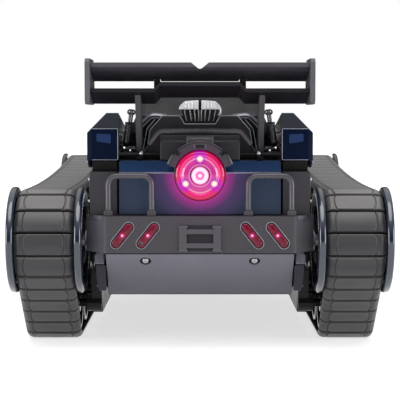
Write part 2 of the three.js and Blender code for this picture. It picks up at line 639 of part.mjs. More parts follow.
add(model, "chassis_tub", chassisTub(), DARK_PLASTIC);
add(model, "skid_plate", skidPlate(), GREY_PLASTIC);
add(model, "hull_deck", hullDeck(), DARK_PLASTIC);
add(model, "rear_bumper", rearBumper(), DARK_PLASTIC);
add(model, "rear_panel", rearPanel(), BLUE_PLASTIC);
add(model, "lamp_housing", lampHousing(), DARK_PLASTIC);
add(model, "lamp_lens", lampLens(), CLEAR_RED, [0, 0, LAMP.z]);
add(model, "spray_nozzle", sprayNozzle(), CLEAR_RED, [0, 0, LAMP.z]);
add(model, "rear_cage", rearCage(), BLACK_PLASTIC);
add(model, "engine_cover", engineCover(), BLACK_PLASTIC);
add(model, "air_intake", airIntake(), CHROME);
add(model, "cabin_shell", cabinShell(), BLACK_PLASTIC);
add(model, "hood_panel", hoodPanel(), BLUE_PLASTIC);
add(model, "front_bumper", frontBumper(), DARK_PLASTIC);
add(model, "wing_lower_blade", wingLowerBlade(), DARK_PLASTIC);
add(model, "wing_upper_blade", wingUpperBlade(), DARK_PLASTIC);
add(model, "battery_pack", batteryPack(), CELL_WRAP);
add(model, "battery_door", batteryDoor(), DARK_PLASTIC);
add(model, "battery_door_screw", doorScrew(), STEEL);
add(model, "circuit_board", circuitBoard(), BOARD_GREEN);
add(model, "spray_tank", block(-28, 28, -128, -78, 66.4, 84), BLACK_PLASTIC);
add(model, "power_switch", powerSwitch(), BLACK_PLASTIC);

// Everything on the right side, and its mirror image on the left.
for (const [side, mirror] of [["right", 1], ["left", -1]]) {
  const half = new THREE.Group();
  half.scale.x = mirror;
  const gearAxis = [DRIVE_AXLE[0] + ((GEAR_TEETH + PINION_TEETH) * MODULE) / 2, DRIVE_AXLE[1]];
  const ringFace = BELT.outer + 0.4;
  add(half, `track_${side}`, beltGeometry(), TRACK_RUBBER);
  add(half, `side_frame_${side}`, sideFrame(), BLACK_PLASTIC);
  add(half, `drive_wheel_${side}`, driveWheel(), BLACK_PLASTIC, [BELT_CENTRE_X, ...DRIVE_AXLE]);
  add(half, `drive_ring_outer_${side}`, wheelRing(), RING_PLASTIC, [ringFace, ...DRIVE_AXLE]);
  add(half, `drive_ring_inner_${side}`, wheelRing().rotateZ(Math.PI), RING_PLASTIC,
    [BELT.inner - 0.4, ...DRIVE_AXLE]);
  add(half, `drive_axle_${side}`, driveAxle(), STEEL, [0, ...DRIVE_AXLE]);
  add(half, `motor_${side}`, motor(), STEEL, [0, ...gearAxis]);
  add(half, `motor_pinion_${side}`, motorPinion(), STEEL, [0, ...gearAxis]);
  add(half, `idler_wheel_${side}`, idlerWheel(), BLACK_PLASTIC, [BELT_CENTRE_X, ...IDLER_AXLE]);
  ROAD_WHEEL_YS.forEach((y, i) => {
    add(half, `road_wheel_${side}_${i + 1}`, roadWheel(), BLACK_PLASTIC, [BELT_CENTRE_X, y, ROAD_AXLE_Z]);
  });
  add(half, `grab_handle_${side}`, grabHandle(), DARK_PLASTIC);
  add(half, `tail_lamp_${side}`, tailLamp(), CLEAR_RED);
  add(half, `side_pod_${side}`, sidePod(), BLUE_PLASTIC);
  add(half, `wing_endplate_${side}`, wingEndplate(), DARK_PLASTIC);
  add(half, `wing_strut_${side}`, wingStrut(), DARK_PLASTIC);
  model.add(half);
}

export default model;
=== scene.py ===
"""Looks for the tracked chassis: link-by-link belts, spoked wheels, moulded body, wing and lamps."""

import math

import bmesh
import bpy
from mathutils import Matrix, Vector


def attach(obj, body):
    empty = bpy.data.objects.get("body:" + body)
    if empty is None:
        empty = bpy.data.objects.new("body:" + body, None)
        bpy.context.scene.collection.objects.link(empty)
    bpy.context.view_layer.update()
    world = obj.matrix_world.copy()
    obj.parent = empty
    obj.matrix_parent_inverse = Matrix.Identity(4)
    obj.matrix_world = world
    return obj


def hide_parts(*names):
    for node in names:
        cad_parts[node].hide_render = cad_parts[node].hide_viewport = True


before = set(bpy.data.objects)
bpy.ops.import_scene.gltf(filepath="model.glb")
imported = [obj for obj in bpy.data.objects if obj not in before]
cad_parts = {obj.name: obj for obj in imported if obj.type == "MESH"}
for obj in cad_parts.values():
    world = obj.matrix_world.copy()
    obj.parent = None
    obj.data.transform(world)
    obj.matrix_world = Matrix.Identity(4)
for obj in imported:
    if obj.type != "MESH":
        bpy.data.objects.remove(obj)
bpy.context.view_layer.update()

MM = 0.001
HULL = "hull"
SIDES = (("right", 1), ("left", -1))
LAMP_Z = 113.6


# ---------------------------------------------------------------- shapes, in millimetres


class Shape:
    """Polygons in millimetres, gathered part by part and made into one piece at the end."""

    def __init__(self):
        self.verts = []
        self.faces = []

    def add(self, verts, faces):
        base = len(self.verts)
        self.verts += [tuple(v) for v in verts]
        self.faces += [tuple(base + i for i in face) for face in faces]
        return self

    def skin(self, rings, loop=False):
        """A skin through rings of equally many points; loop joins the last ring to the first."""
        n = len(rings[0])
        count = len(rings)
        faces = []
        for i in range(count if loop else count - 1):
            a, b = i * n, ((i + 1) % count) * n
            faces += [(a + j, a + (j + 1) % n, b + (j + 1) % n, b + j) for j in range(n)]
        if not loop:
            faces += [tuple(range(n)), tuple(range((count - 1) * n, count * n))]
        return self.add([p for ring in rings for p in ring], faces)

    def prism(self, axis, outline, a, b):
        """An outline in the other two axes, in XYZ order, run along axis from a to b."""
        def at(p, t):
            return {"x": (t, *p), "y": (p[0], t, p[1]), "z": (*p, t)}[axis]

        return self.skin([[at(p, a) for p in outline], [at(p, b) for p in outline]])

    def box(self, x0, x1, y0, y1, z0, z1):
        return self.prism("z", [(x0, y0), (x1, y0), (x1, y1), (x0, y1)], z0, z1)

    def turn(self, axis, centre, profile, n=48, loop=False):
        """A profile of (distance along axis, radius) turned about axis through centre."""
        rings = []
        for t, r in profile:
            ring = []
            for k in range(n):
                c, s = r * math.cos(2 * math.pi * k / n), r * math.sin(2 * math.pi * k / n)
                offset = {"x": (t, c, s), "y": (c, t, s), "z": (c, s, t)}[axis]
                ring.append(tuple(centre[i] + offset[i] for i in range(3)))
            rings.append(ring)
        return self.skin(rings, loop=loop)

    def tube(self, points, radius, n=14):
        """A round tube through the points, turning with them."""
        pts = [Vector(p) for p in points]
        side = None
        rings = []
        for i, p in enumerate(pts):
            ahead = (pts[min(i + 1, len(pts) - 1)] - pts[max(i - 1, 0)]).normalized()
            if side is None:
                side = ahead.orthogonal().normalized()
            side = (side - ahead * side.dot(ahead)).normalized()
            up = ahead.cross(side)
            turns = [2 * math.pi * k / n for k in range(n)]
            rings.append([tuple(p + (side * math.cos(a) + up * math.sin(a)) * radius) for a in turns])
        return self.skin(rings)

    def ball(self, centre, radius):
        turns = [math.pi * k / 10 for k in range(11)]
        profile = [(-radius * math.cos(a), radius * max(0.01, math.sin(a))) for a in turns]
        return self.turn("y", centre, profile, n=20)

    def arc(self, centre, section, start, end, n):
        """A closed section of (y, r) swept about Y through centre, from start to end degrees above +X."""
        rings = []
        for k in range(n + 1):
            a = math.radians(start + (end - start) * k / n)
            rings.append([(centre[0] + r * math.cos(a), y, centre[2] + r * math.sin(a)) for y,
                          r in section])
        return self.skin(rings)

    def plate(self, corners, low, high, margin=0.0, rounding=1.5):
        """A flat plate on a convex polygon, from low to high above it, pulled in by margin."""
        pts = [Vector(p) for p in corners]
        normal = (pts[1] - pts[0]).cross(pts[2] - pts[0]).normalized()
        moved = []
        for i, p in enumerate(pts):
            into = (p - pts[i - 1]).normalized()
            out = (pts[(i + 1) % len(pts)] - p).normalized()
            mitre = (normal.cross(into) + normal.cross(out)).normalized()
            moved.append(p + mitre * margin / math.cos(into.angle(out) / 2))
        seam = (moved[-1] + moved[0]) / 2
        outline = fillet([seam, *moved, seam], rounding, 4)[1:]
        return self.skin([[tuple(p + normal * t) for p in outline] for t in (low, high)])

    def placed(self, matrix):
        out = Shape()
        out.verts = [tuple(matrix @ Vector(v)) for v in self.verts]
        out.faces = list(self.faces)
        return out

    def mirrored(self, sign=-1):
        out = Shape()
        out.verts = [(sign * x, y, z) for x, y, z in self.verts]
        out.faces = list(self.faces)
        return out

    def join(self, other):
        return self.add(other.verts, other.faces)


def fillet(points, radius, steps=6):
    """The polyline with each inner corner rounded to radius."""
    pts = [Vector(p) for p in points]
    out = [pts[0]]
    for i in range(1, len(pts) - 1):
        back = (pts[i - 1] - pts[i]).normalized()
        ahead = (pts[i + 1] - pts[i]).normalized()
        half = back.angle(ahead) / 2
        reach = radius / math.tan(half)
        centre = pts[i] + (back + ahead).normalized() * (radius / math.sin(half))
        a = pts[i] + back * reach - centre
        b = pts[i] + ahead * reach - centre
        full = a.angle(b)
        for k in range(steps + 1):
            t = k / steps
            out.append(centre + (a * math.sin((1 - t) * full) + b * math.sin(t * full)) / math.sin(full))
    out.append(pts[-1])
    return out


def make(name, shape, material, body=HULL, bevel=0.0, segments=2, sharp=32, replaces=None, slot=None,
         at=None):
    """One visible piece from a shape in millimetres, riding on a CAD body. at moves its origin there."""
    origin = Vector(at) if at else Vector((0, 0, 0))
    mesh = bpy.data.meshes.new(name)
    mesh.from_pydata([tuple((Vector(v) - origin) * MM) for v in shape.verts], [], shape.faces)
    bm = bmesh.new()
    bm.from_mesh(mesh)
    bmesh.ops.remove_doubles(bm, verts=bm.verts, dist=1e-6)
    bmesh.ops.recalc_face_normals(bm, faces=bm.faces)
    bm.to_mesh(mesh)
    bm.free()
    mesh.polygons.foreach_set("use_smooth", [True] * len(mesh.polygons))
    mesh.set_sharp_from_angle(angle=math.radians(sharp))
    piece = bpy.data.objects.new(name, mesh)
    piece.location = origin * MM
    bpy.context.scene.collection.objects.link(piece)
    mesh.materials.append(material)
    if bevel:
        soften(piece, bevel, segments)
    bpy.context.view_layer.update()
    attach(piece, body)
    if replaces:
        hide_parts(replaces)


def pair(name, shape, material, body=HULL, replaces="", **rest):
    """A piece on each side, from the right one's shape. {side} in a name becomes right or left."""
    for side, sign in SIDES:
        name_here, body_here, replaced = (text.format(side=side) for text in (name, body, replaces))
        make(name_here, shape.mirrored(sign), material, body_here, replaces=replaced, **rest)


def soften(piece, width, segments, angle=30):
    mod = piece.modifiers.new("edges", "BEVEL")
    mod.width = width * MM
    mod.segments = segments
    mod.limit_method = "ANGLE"
    mod.angle_limit = math.radians(angle)
    mod.harden_normals = True
    mod.use_clamp_overlap = True


def dress(node, material, bevel, segments=2):
    """A CAD node keeps its shape, with a new material and softened edges. {side} stands for both sides."""
    for name in dict.fromkeys(node.format(side=side) for side, sign in SIDES):
        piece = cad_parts[name]
        for holder in piece.material_slots:
            holder.material = material
        weld = piece.modifiers.new("weld", "WELD")
        weld.merge_threshold = 1e-5
        soften(piece, bevel, segments, 32)


def hexes(shape, axis, points, radius, low, high):
    """Hexagon bolt heads on a face across an axis, each with a washer."""
    for point in points:
        shape.turn(axis, point, [(low, radius * 1.45), (low + 0.3, radius * 1.45), (low + 0.3, radius)],
                   n=18)
        shape.turn(axis, point, [(low, radius), (high - 0.25, radius), (high, radius * 0.8)], n=6)
    return shape


# ---------------------------------------------------------------- materials


def srgb(r, g, b):
    """A linear colour from 0-255 display values."""
    def lin(c):
        c /= 255
        return c / 12.92 if c <= 0.04045 else ((c + 0.055) / 1.055) ** 2.4

    return (lin(r), lin(g), lin(b), 1.0)


class Nodes:
    """A material's node tree, with short ways to add and link nodes."""

    def __init__(self, name):
        self.material = bpy.data.materials.new(name)
        self.material.use_nodes = True
        self.tree = self.material.node_tree
        self.bsdf = self.tree.nodes["Principled BSDF"]
        self.coord = self.new("ShaderNodeTexCoord").outputs["Object"]

    def new(self, kind, **settings):
        node = self.tree.nodes.new(kind)
        for key, value in settings.items():
            setattr(node, key, value)
        return node

    def link(self, a, b):
        self.tree.links.new(a, b)

    def put(self, socket, value):
        """Sets an input of the surface, from a number, a colour or another node's output."""
        if isinstance(value, (tuple, float, int)):
            self.bsdf.inputs[socket].default_value = value
        else:
            self.link(value, self.bsdf.inputs[socket])

    def away(self, point=(0, 0, 0), flat=False):
        """Distance from a point in millimetres. flat leaves out the depth along Y."""
        source = self.coord
        if flat:
            flattened = self.new("ShaderNodeVectorMath", operation="MULTIPLY")
            flattened.inputs[1].default_value = (1, 0, 1)
            self.link(source, flattened.inputs[0])
            source = flattened.outputs[0]
        node = self.new("ShaderNodeVectorMath", operation="DISTANCE")
        node.inputs[1].default_value = tuple(c * MM for c in point)
        self.link(source, node.inputs[0])
        return node.outputs["Value"]

    def noise(self, scale, detail=3.0, roughness=0.55, stretch=None):
        node = self.new("ShaderNodeTexNoise")
        node.inputs["Scale"].default_value = scale
        node.inputs["Detail"].default_value = detail
        node.inputs["Roughness"].default_value = roughness
        source = self.coord
        if stretch:
            mapping = self.new("ShaderNodeMapping")
            mapping.inputs["Scale"].default_value = stretch
            self.link(self.coord, mapping.inputs["Vector"])
            source = mapping.outputs["Vector"]
        self.link(source, node.inputs["Vector"])
        return node.outputs["Fac"]

    def ramp(self, source, stops):
        node = self.new("ShaderNodeValToRGB")
        while len(node.color_ramp.elements) < len(stops):
            node.color_ramp.elements.new(0.5)
        for element, (place, colour) in zip(node.color_ramp.elements, stops):
            element.position = place
            element.color = colour if isinstance(colour, tuple) else (colour, colour, colour, 1)
        self.link(source, node.inputs["Fac"])
        return node.outputs["Color"]

    def spread(self, source, low, high, from_low=0.3, from_high=0.7):
        node = self.new("ShaderNodeMapRange")
        node.inputs["From Min"].default_value = from_low
        node.inputs["From Max"].default_value = from_high
        node.inputs["To Min"].default_value = low
        node.inputs["To Max"].default_value = high
        self.link(source, node.inputs["Value"])
        return node.outputs["Result"]

    def mix(self, factor, a, b):
        node = self.new("ShaderNodeMix", data_type="RGBA")
        for source, socket in ((factor, node.inputs[0]), (a, node.inputs[6]), (b, node.inputs[7])):
            if isinstance(source, (tuple, float, int)):
                socket.default_value = source
            else:
                self.link(source, socket)
        return node.outputs[2]

    def bump(self, height, strength, distance):
        node = self.new("ShaderNodeBump")
        node.inputs["Strength"].default_value = strength
        node.inputs["Distance"].default_value = distance
        self.link(height, node.inputs["Height"])
        return node.outputs["Normal"]

    def edges(self):
        """0 on flat faces, 1 on sharp outer edges, where wear and a painted edge highlight go."""
        geometry = self.new("ShaderNodeNewGeometry")
        return self.spread(geometry.outputs["Pointiness"], 0.0, 1.0, 0.52, 0.6)

    def upward(self):
        """0 on walls and undersides, 1 on faces that look up, where dust settles and where light from above
        is painted in.
        """
        geometry = self.new("ShaderNodeNewGeometry")
        split = self.new("ShaderNodeSeparateXYZ")
        self.link(geometry.outputs["Normal"], split.inputs[0])
        return self.spread(split.outputs["Z"], 0.0, 1.0, 0.35, 0.98)


def shade(colour, factor):
    return tuple(min(1.0, c * factor) for c in colour[:3]) + (1.0,)


def moulded(name, colour, roughness, grain=0.12, grain_scale=1400, mottle=0.1, wear_and_edge_highlight=0.0, coat=0.0,
            metallic=0.0,
            sheen=0.0, specular=0.32, dust_and_top_light=None, stretch=None):
    """Plastic, rubber or metal: mottled colour, fine grain, uneven gloss and, with wear, paler edges that
    are partly wear and partly a painted edge highlight; with dust, paler upward faces that are partly dust
    and partly painted light from above.
    """
    n = Nodes(name)
    cloud = n.noise(28, 4, 0.6, stretch)
    base = n.ramp(cloud, [(0.3, shade(colour, 1 - mottle)), (0.7, shade(colour, 1 + mottle))])
    # paler edges: partly wear, partly a painted edge highlight
    if wear_and_edge_highlight:
        edge = n.new("ShaderNodeMath", operation="MULTIPLY")
        n.link(n.edges(), edge.inputs[0])
        edge.inputs[1].default_value = wear_and_edge_highlight
        pale = tuple(c + 0.25 * (0.6 - c) for c in colour[:3]) + (1.0,)
        base = n.mix(edge.outputs[0], base, pale)
    # paler upward faces: partly dust, partly painted light from above
    if dust_and_top_light:
        base = n.mix(n.upward(), base, dust_and_top_light)
    n.put("Base Color", base)
    smudge = n.noise(70, 5, 0.65)
    n.put("Roughness", n.spread(smudge, max(0.02, roughness - 0.07), min(1, roughness + 0.09)))
    if grain:
        n.put("Normal", n.bump(n.noise(grain_scale, 2), grain, 0.00012))
    n.put("Metallic", metallic)
    n.put("Specular IOR Level", 0.5 if metallic else specular)
    if sheen:
        n.put("Sheen Weight", sheen)
        n.put("Sheen Roughness", 0.45)
    if coat:
        n.put("Coat Weight", coat)
        n.put("Coat Roughness", 0.08)
    return n.material


def painted_glow_panel():
    """Satin blue panel with the lamp's magenta light painted round it as a glow that fades out."""
    n = Nodes("panel_blue_painted_glow")
    n.put("Base Color", n.ramp(n.noise(28, 4, 0.6), [(0.3, srgb(34, 47, 66)), (0.7, srgb(41, 54, 74))]))
    n.put("Roughness", n.spread(n.noise(70, 5, 0.65), 0.27, 0.42))
    n.put("Normal", n.bump(n.noise(2400, 2), 0.06, 0.00012))
    # painted glow: magenta emission on the panel, fading out with distance from the lamp
    glow = n.ramp(n.spread(n.away((0, -187, LAMP_Z)), 0, 1, 0.015, 0.034),
                  [(0.0, srgb(226, 10, 150)), (0.18, srgb(150, 6, 120)), (0.45, srgb(64, 8, 66)),
                   (1.0, 0.0)])
    n.put("Emission Color", glow)
    n.put("Emission Strength", 0.8)
    n.put("Specular IOR Level", 0.2)
    return n.material


def fading(name, colour, other, axis, low, high, roughness):
    """A moulded grey that goes from colour to other as the distance along axis goes from low to high."""
    n = Nodes(name)
    split = n.new("ShaderNodeSeparateXYZ")
    n.link(n.coord, split.inputs[0])
    reach = n.new("ShaderNodeMath", operation="ABSOLUTE")
    n.link(split.outputs[axis], reach.inputs[0])
    blend = n.mix(n.spread(reach.outputs[0], 0.0, 1.0, low * MM, high * MM), colour, other)
    n.put("Base Color", n.mix(n.spread(n.noise(28, 4, 0.6), 0.0, 0.25), blend, shade(colour, 0.8)))
    n.put("Roughness", n.spread(n.noise(70, 5, 0.65), roughness - 0.07, roughness + 0.09))
    n.put("Normal", n.bump(n.noise(1700, 2), 0.18, 0.00012))
    n.put("Specular IOR Level", 0.32)
    return n.material


def glowing(name, colour, glow, strength, roughness=0.15):
    n = Nodes(name)
    cloud = n.noise(300, 2)
    n.put("Base Color", n.ramp(cloud, [(0.3, shade(colour, 0.9)), (0.7, colour)]))
    n.put("Roughness", n.spread(n.noise(120, 3), roughness * 0.7, roughness * 1.4))
    n.put("Emission Color", n.ramp(cloud, [(0.25, shade(glow, 0.88)), (0.75, glow)]))
    n.put("Emission Strength", strength)
    return n.material


# its paler upward faces are partly dust, partly painted light from above
# track rubber: its paler edges are partly wear, partly a painted edge highlight
RUBBER = moulded("track_rubber", srgb(33, 32, 35), 0.4, grain=0.5, grain_scale=700, mottle=0.28, wear_and_edge_highlight=0.16,
                 sheen=0.1, dust_and_top_light=srgb(108, 106, 104), stretch=(1, 5, 5))
RUBBER_DARK = moulded("track_band_rubber", srgb(12, 12, 14), 0.6, grain=0.2, specular=0.2)
GREY = moulded("hull_grey", srgb(56, 55, 58), 0.42, grain=0.22, grain_scale=1700)
GREY_DARK = moulded("hull_dark_grey", srgb(44, 43, 47), 0.42, grain=0.2, grain_scale=1700)
# light grey: frame shoes and grille bars, and the painted highlights on the bumper corners and corner boxes
GREY_LIGHT = moulded("shoe_grey", srgb(88, 87, 96), 0.34, grain=0.14, grain_scale=1900)
# pale grey: tail lamp rims, and painted highlight lines on the pods, rear panel crease and engine plate
PALE_EDGE = moulded("pale_edge", srgb(150, 154, 164), 0.3, grain=0.0)
HANDLE_GREY = moulded("handle_grey", srgb(62, 61, 66), 0.26, grain=0.04, grain_scale=1900, specular=0.45)
RECESS_GREY = moulded("recess_grey", srgb(34, 33, 36), 0.5, grain=0.1, specular=0.2)
WHEEL_BLACK = moulded("wheel_black", srgb(12, 12, 14), 0.2, grain=0.05, coat=0.6, specular=0.45)
BLACK = moulded("satin_black", srgb(11, 11, 13), 0.34, grain=0.14, grain_scale=1500, specular=0.22)
GLOSS_BLACK = moulded("gloss_black", srgb(5, 5, 7), 0.14, grain=0.03, coat=0.25, specular=0.2)
PIPE_BLACK = moulded("black_chrome", srgb(96, 96, 101), 0.16, grain=0.03, metallic=1.0)
CASE_GREY = moulded("case_grey", srgb(36, 35, 39), 0.36, grain=0.18, grain_scale=1700)
ROOF_GREY = moulded("roof_grey", srgb(30, 29, 33), 0.5, grain=0.2, grain_scale=1700, specular=0.2)
WING_BLACK = moulded("wing_black", srgb(66, 65, 70), 0.36, grain=0.16, grain_scale=1700)
WING_SIDE = moulded("wing_side", srgb(78, 77, 82), 0.34, grain=0.16, grain_scale=1700)
WING_DARK = moulded("wing_dark", srgb(26, 25, 29), 0.38, grain=0.16, grain_scale=1700, specular=0.2)
BLUE = moulded("body_blue", srgb(3, 14, 36), 0.22, grain=0.02, grain_scale=2400, mottle=0.06, specular=0.06)
# lighter glossy blue: the pod vent fins, and the painted reflection patch on the pods' rear faces
BLUE_GLOSS = moulded("blue_gloss_fins_and_reflection", srgb(28, 46, 82), 0.16, grain=0.02, grain_scale=2400, mottle=0.06,
                     specular=0.12)
PANEL_PAINTED_GLOW = painted_glow_panel()
BLUE_EDGE = moulded("panel_edge_blue", srgb(28, 48, 78), 0.22, grain=0.02, grain_scale=2400, mottle=0.05,
                    coat=0.1,
                    specular=0.2)
BLUE_RING = moulded("ring_blue", srgb(18, 28, 46), 0.16, grain=0.02, grain_scale=2000, mottle=0.08,
                    coat=1.0,
                    specular=0.5)
# painted shade: the skid plate goes darker towards its bottom
SKID = fading("skid_grey_painted_shade", srgb(72, 71, 80), srgb(100, 99, 109), "Z", 36, 64, 0.34)
# painted light: the bumper is made paler towards its angled ends, from 58 to 66 mm out from the middle
BUMPER = fading("bumper_grey_painted_light_ends", srgb(56, 55, 58), srgb(96, 96, 102), "X", 58, 66, 0.42)
CHROME = moulded("chrome_trim", srgb(226, 226, 230), 0.14, grain=0.02, metallic=1.0)
WHITE_CHROME = moulded("polished_intake", srgb(228, 228, 231), 0.28, grain=0.05, metallic=0.4)
STEEL = moulded("turned_steel", srgb(168, 168, 172), 0.3, grain=0.08, metallic=1.0, stretch=(1, 12, 12))
ARM_BLUE = moulded("frame_blue_grey", srgb(32, 33, 42), 0.3, grain=0.06, specular=0.25)
BOARD = moulded("circuit_green", srgb(26, 84, 50), 0.35, grain=0.1)
CELLS = moulded("cell_wrap", srgb(40, 108, 172), 0.3, grain=0.04)
TANK = moulded("tank_plastic", srgb(196, 200, 206), 0.3, grain=0.05)
TINT = moulded("tinted_window", srgb(4, 5, 7), 0.06, grain=0.0, mottle=0.05, coat=0.5, specular=0.4)
HEADLAMP = glowing("headlamp_clear", srgb(200, 206, 215), srgb(220, 230, 255), 0.2)


# ---------------------------------------------------------------- tracks

BELT_X = 98.5
BELT_HALF = 18.5
BELT_T = 4.5
PITCH = 13.4
DRIVE = (-165.5, 70.5)
IDLER = (165.5, 83.3)
ROAD_YS = (-124, -81, -38, 5, 48)
ROAD_Z = 24.1
DRIVE_RADIUS = 28.6
ROAD_RADIUS = 19.6
SLACK = 0.0485


def belt_line():
    """The belt's inner face as a closed line of (y, z), in the order ground, nose, idler, top, drive."""
    rear = ((ROAD_YS[0], ROAD_Z), ROAD_RADIUS)
    fore = ((ROAD_YS[-1], ROAD_Z), ROAD_RADIUS)
    idler = (IDLER, DRIVE_RADIUS)
    drive = (DRIVE, DRIVE_RADIUS)

    def heading(a, b):
        dy, dz = b[0][0] - a[0][0], b[0][1] - a[0][1]
        return math.atan2(dz, dy) + math.asin((a[1] - b[1]) / math.hypot(dy, dz))

    def touch(ring, angle):
        (y, z), r = ring
        return (y + r * math.sin(angle), z - r * math.cos(angle))

    nose = heading(fore, idler)
    top = heading(idler, drive) % (2 * math.pi)
    tail = heading(drive, rear) + 2 * math.pi
    leaving, landing = top + SLACK, top - SLACK
    line = [touch(rear, 0)]

    def straight(to):
        start = line[-1]
        steps = max(2, round(math.dist(start, to) / 1.0))
        line.extend(
            (start[0] + (to[0] - start[0]) * k / steps, start[1] + (to[1] - start[1]) * k / steps)
            for k in range(1, steps + 1)
        )

    def arc(ring, a, b):
        steps = max(2, round(abs(b - a) * ring[1] / 1.0))
        line.extend(touch(ring, a + (b - a) * k / steps) for k in range(1, steps + 1))

    straight(touch(fore, 0))
    arc(fore, 0, nose)
    straight(touch(idler, nose))
    arc(idler, nose, leaving)
    start, end = touch(idler, leaving), touch(drive, landing)
    bend = ((start[0] + end[0]) / 2, (start[1] + end[1]) / 2 - math.dist(start, end) / 2 * math.tan(SLACK))
    for k in range(1, 331):
        t = k / 330
        line.append(tuple((1 - t) ** 2 * start[i] + 2 * t * (1 - t) * bend[i] + t * t * end[i]
                          for i in (0, 1)))
    arc(drive, landing, tail)
    straight(touch(rear, tail))
    arc(rear, tail, 2 * math.pi)
    return line[:-1]


def belt_frame():
    """The belt's length, and a function from distance along it to (y, z, outward y, outward z)."""
    line = belt_line()
    lengths = [0.0]
    for i in range(len(line)):
        lengths.append(lengths[-1] + math.dist(line[i], line[(i + 1) % len(line)]))
    total = lengths[-1]

    def at(s):
        s %= total
        low, high = 0, len(line)
        while high - low > 1:
            mid = (low + high) // 2
            low, high = (mid, high) if lengths[mid] <= s else (low, mid)
        a, b = line[low], line[(low + 1) % len(line)]
        span = lengths[low + 1] - lengths[low]
        t = (s - lengths[low]) / span
        dy, dz = (b[0] - a[0]) / span, (b[1] - a[1]) / span
        return (a[0] + (b[0] - a[0]) * t, a[1] + (b[1] - a[1]) * t, dz, -dy)

    return total, at


BELT_LENGTH, BELT_AT = belt_frame()
LINKS = round(BELT_LENGTH / PITCH)


def on_belt(s, w, h):
    """A point at s along the belt, w outward from its middle and h above its inner face."""
    y, z, ny, nz = BELT_AT(s)
    return (BELT_X + w, y + ny * h, z + nz * h)


def build_track():
    """Pads, link by link, and the band under them.

    A pad is a low slab, a raised centre bar with bowed ends, and a shoulder block on each side.
    """
    pads = Shape()
    step = BELT_LENGTH / LINKS
    half = step / 2 - 0.75
    stations = [-half, -half + 0.45, -half / 2, 0, half / 2, half - 0.45, half]
    corner = [(math.cos(math.pi * k / 3), math.sin(math.pi * k / 3)) for k in range(6)]
    slab_line = [(0, 3.6), (16.4, 3.6), (17.6, 2.7), (18.3, 1.5), (18.3, 0.6)]
    for i in range(LINKS):
        s = (i + 0.5) * step
        bar, left, right, slab = [], [], [], []
        for u in stations:
            drop = 0.75 if abs(u) == half else 0.0
            bow = 12.9 - 1.6 * abs(u / half) ** 3
            bar.append([on_belt(s + u, w, h) for w, h in (
                (-bow, 3.2), (-bow, 4.2 - drop), (-bow + 0.5, BELT_T - drop), (bow - 0.5, BELT_T - drop),
                (bow, 4.2 - drop), (bow, 3.2))])
            inner = bow + 0.5
            block = [(inner, 3.0), (inner, 4.0 - drop), (inner + 0.4, 4.25 - drop), (15.6, 4.2 - drop),
                     (17.0, 3.5 - drop), (18.0, 2.4 - drop * 0.6), (BELT_HALF, 1.2), (BELT_HALF, 0.5)]
            right.append([on_belt(s + u, w, h) for w, h in block])
            left.append([on_belt(s + u, -w, h) for w, h in block])
            t = u * 0.99
            slab.append([on_belt(s + t, -w, h) for w, h in reversed(slab_line[1:])]
                        + [on_belt(s + t, w, h) for w, h in slab_line[1:]])
        pads.skin(bar).skin(left).skin(right).skin(slab)
        for u in (-half + 1.3, half - 1.3):
            for w in (-14.0, 14.0):
                pads.skin([[on_belt(s + u + 0.7 * c, w + 0.7 * d, 3.9) for c, d in corner],
                           [on_belt(s + u + 0.45 * c, w + 0.45 * d, BELT_T) for c, d in corner]])
    band = Shape()
    rings = []
    count = LINKS * 5
    section = [(-18.2, 0.0), (-BELT_HALF, 0.35), (-18.2, 1.4), (18.2, 1.4), (BELT_HALF, 0.35), (18.2, 0.0)]
    for i in range(count):
        s = i * BELT_LENGTH / count
        rings.append([on_belt(s, w, h) for w, h in section])
    band.skin(rings, loop=True)
    return pads, band


PADS, BAND = build_track()
pair("track_pads_{side}", PADS, RUBBER, sharp=24, replaces="track_{side}", slot="track_rubber")
pair("track_band_{side}", BAND, RUBBER_DARK, sharp=40, slot="track_rubber")


# ---------------------------------------------------------------- wheels


def wheel_disc(centre, x0, x1, rim, inner, hub, bore, spokes, width, recess):
    """A spoked disc about X: a rim from inner to rim radius, a hub, and flat spokes set back by recess."""
    shape = Shape()
    c = (0, *centre)
    shape.turn("x", c, [(x0, inner), (x0, rim - 0.7), (x0 + 0.7, rim), (x1 - 0.7, rim), (x1, rim - 0.7),
                        (x1, inner)],
               n=56, loop=True)
    shape.turn("x", c, [(x0 + 0.5, bore), (x0 + 0.5, hub), (x1 - 0.5, hub), (x1 - 0.5, bore)], n=28,
               loop=True)
    for k in range(spokes):
        a = 2 * math.pi * k / spokes
        ca, sa = math.cos(a), math.sin(a)

        def at(r, t, x):
            return (x, centre[0] + r * ca - t * sa, centre[1] + r * sa + t * ca)

        inside, outside = hub - 0.6, inner + 0.6
        shape.skin([
            [at(inside, -width * 0.62, x0 + recess), at(inside, width * 0.62, x0 + recess),
             at(inside, width * 0.62, x1 - recess), at(inside, -width * 0.62, x1 - recess)],
            [at(outside, -width * 0.42, x0 + recess * 0.6), at(outside, width * 0.42, x0 + recess * 0.6),
             at(outside, width * 0.42, x1 - recess * 0.6), at(outside, -width * 0.42, x1 - recess * 0.6)],
        ])
    return shape


def ring_profile(x0, x1):
    """The section of a wheel ring: rounded outside, with a step down to the wheel's face."""
    m = (x0 + x1) / 2
    h = (x1 - x0) / 2
    turns = [math.pi * k / 12 for k in range(13)]
    arc = [(m - math.copysign(abs(math.cos(a)) ** 0.62, math.cos(a)) * h, 31.4 + 3.1 * math.sin(a) ** 0.7)
           for a in turns]
    return [(x0, 22.3), (x0, 31.2), *arc, (x1, 31.2), (x1, 29.6), (x1 - 1.6, 28.0), (x1 - 1.6, 23.6),
            (x1 - 0.6, 22.3)]


INNER_RING = (74.6, 79.5)
OUTER_RING = (117.5, 122.4)

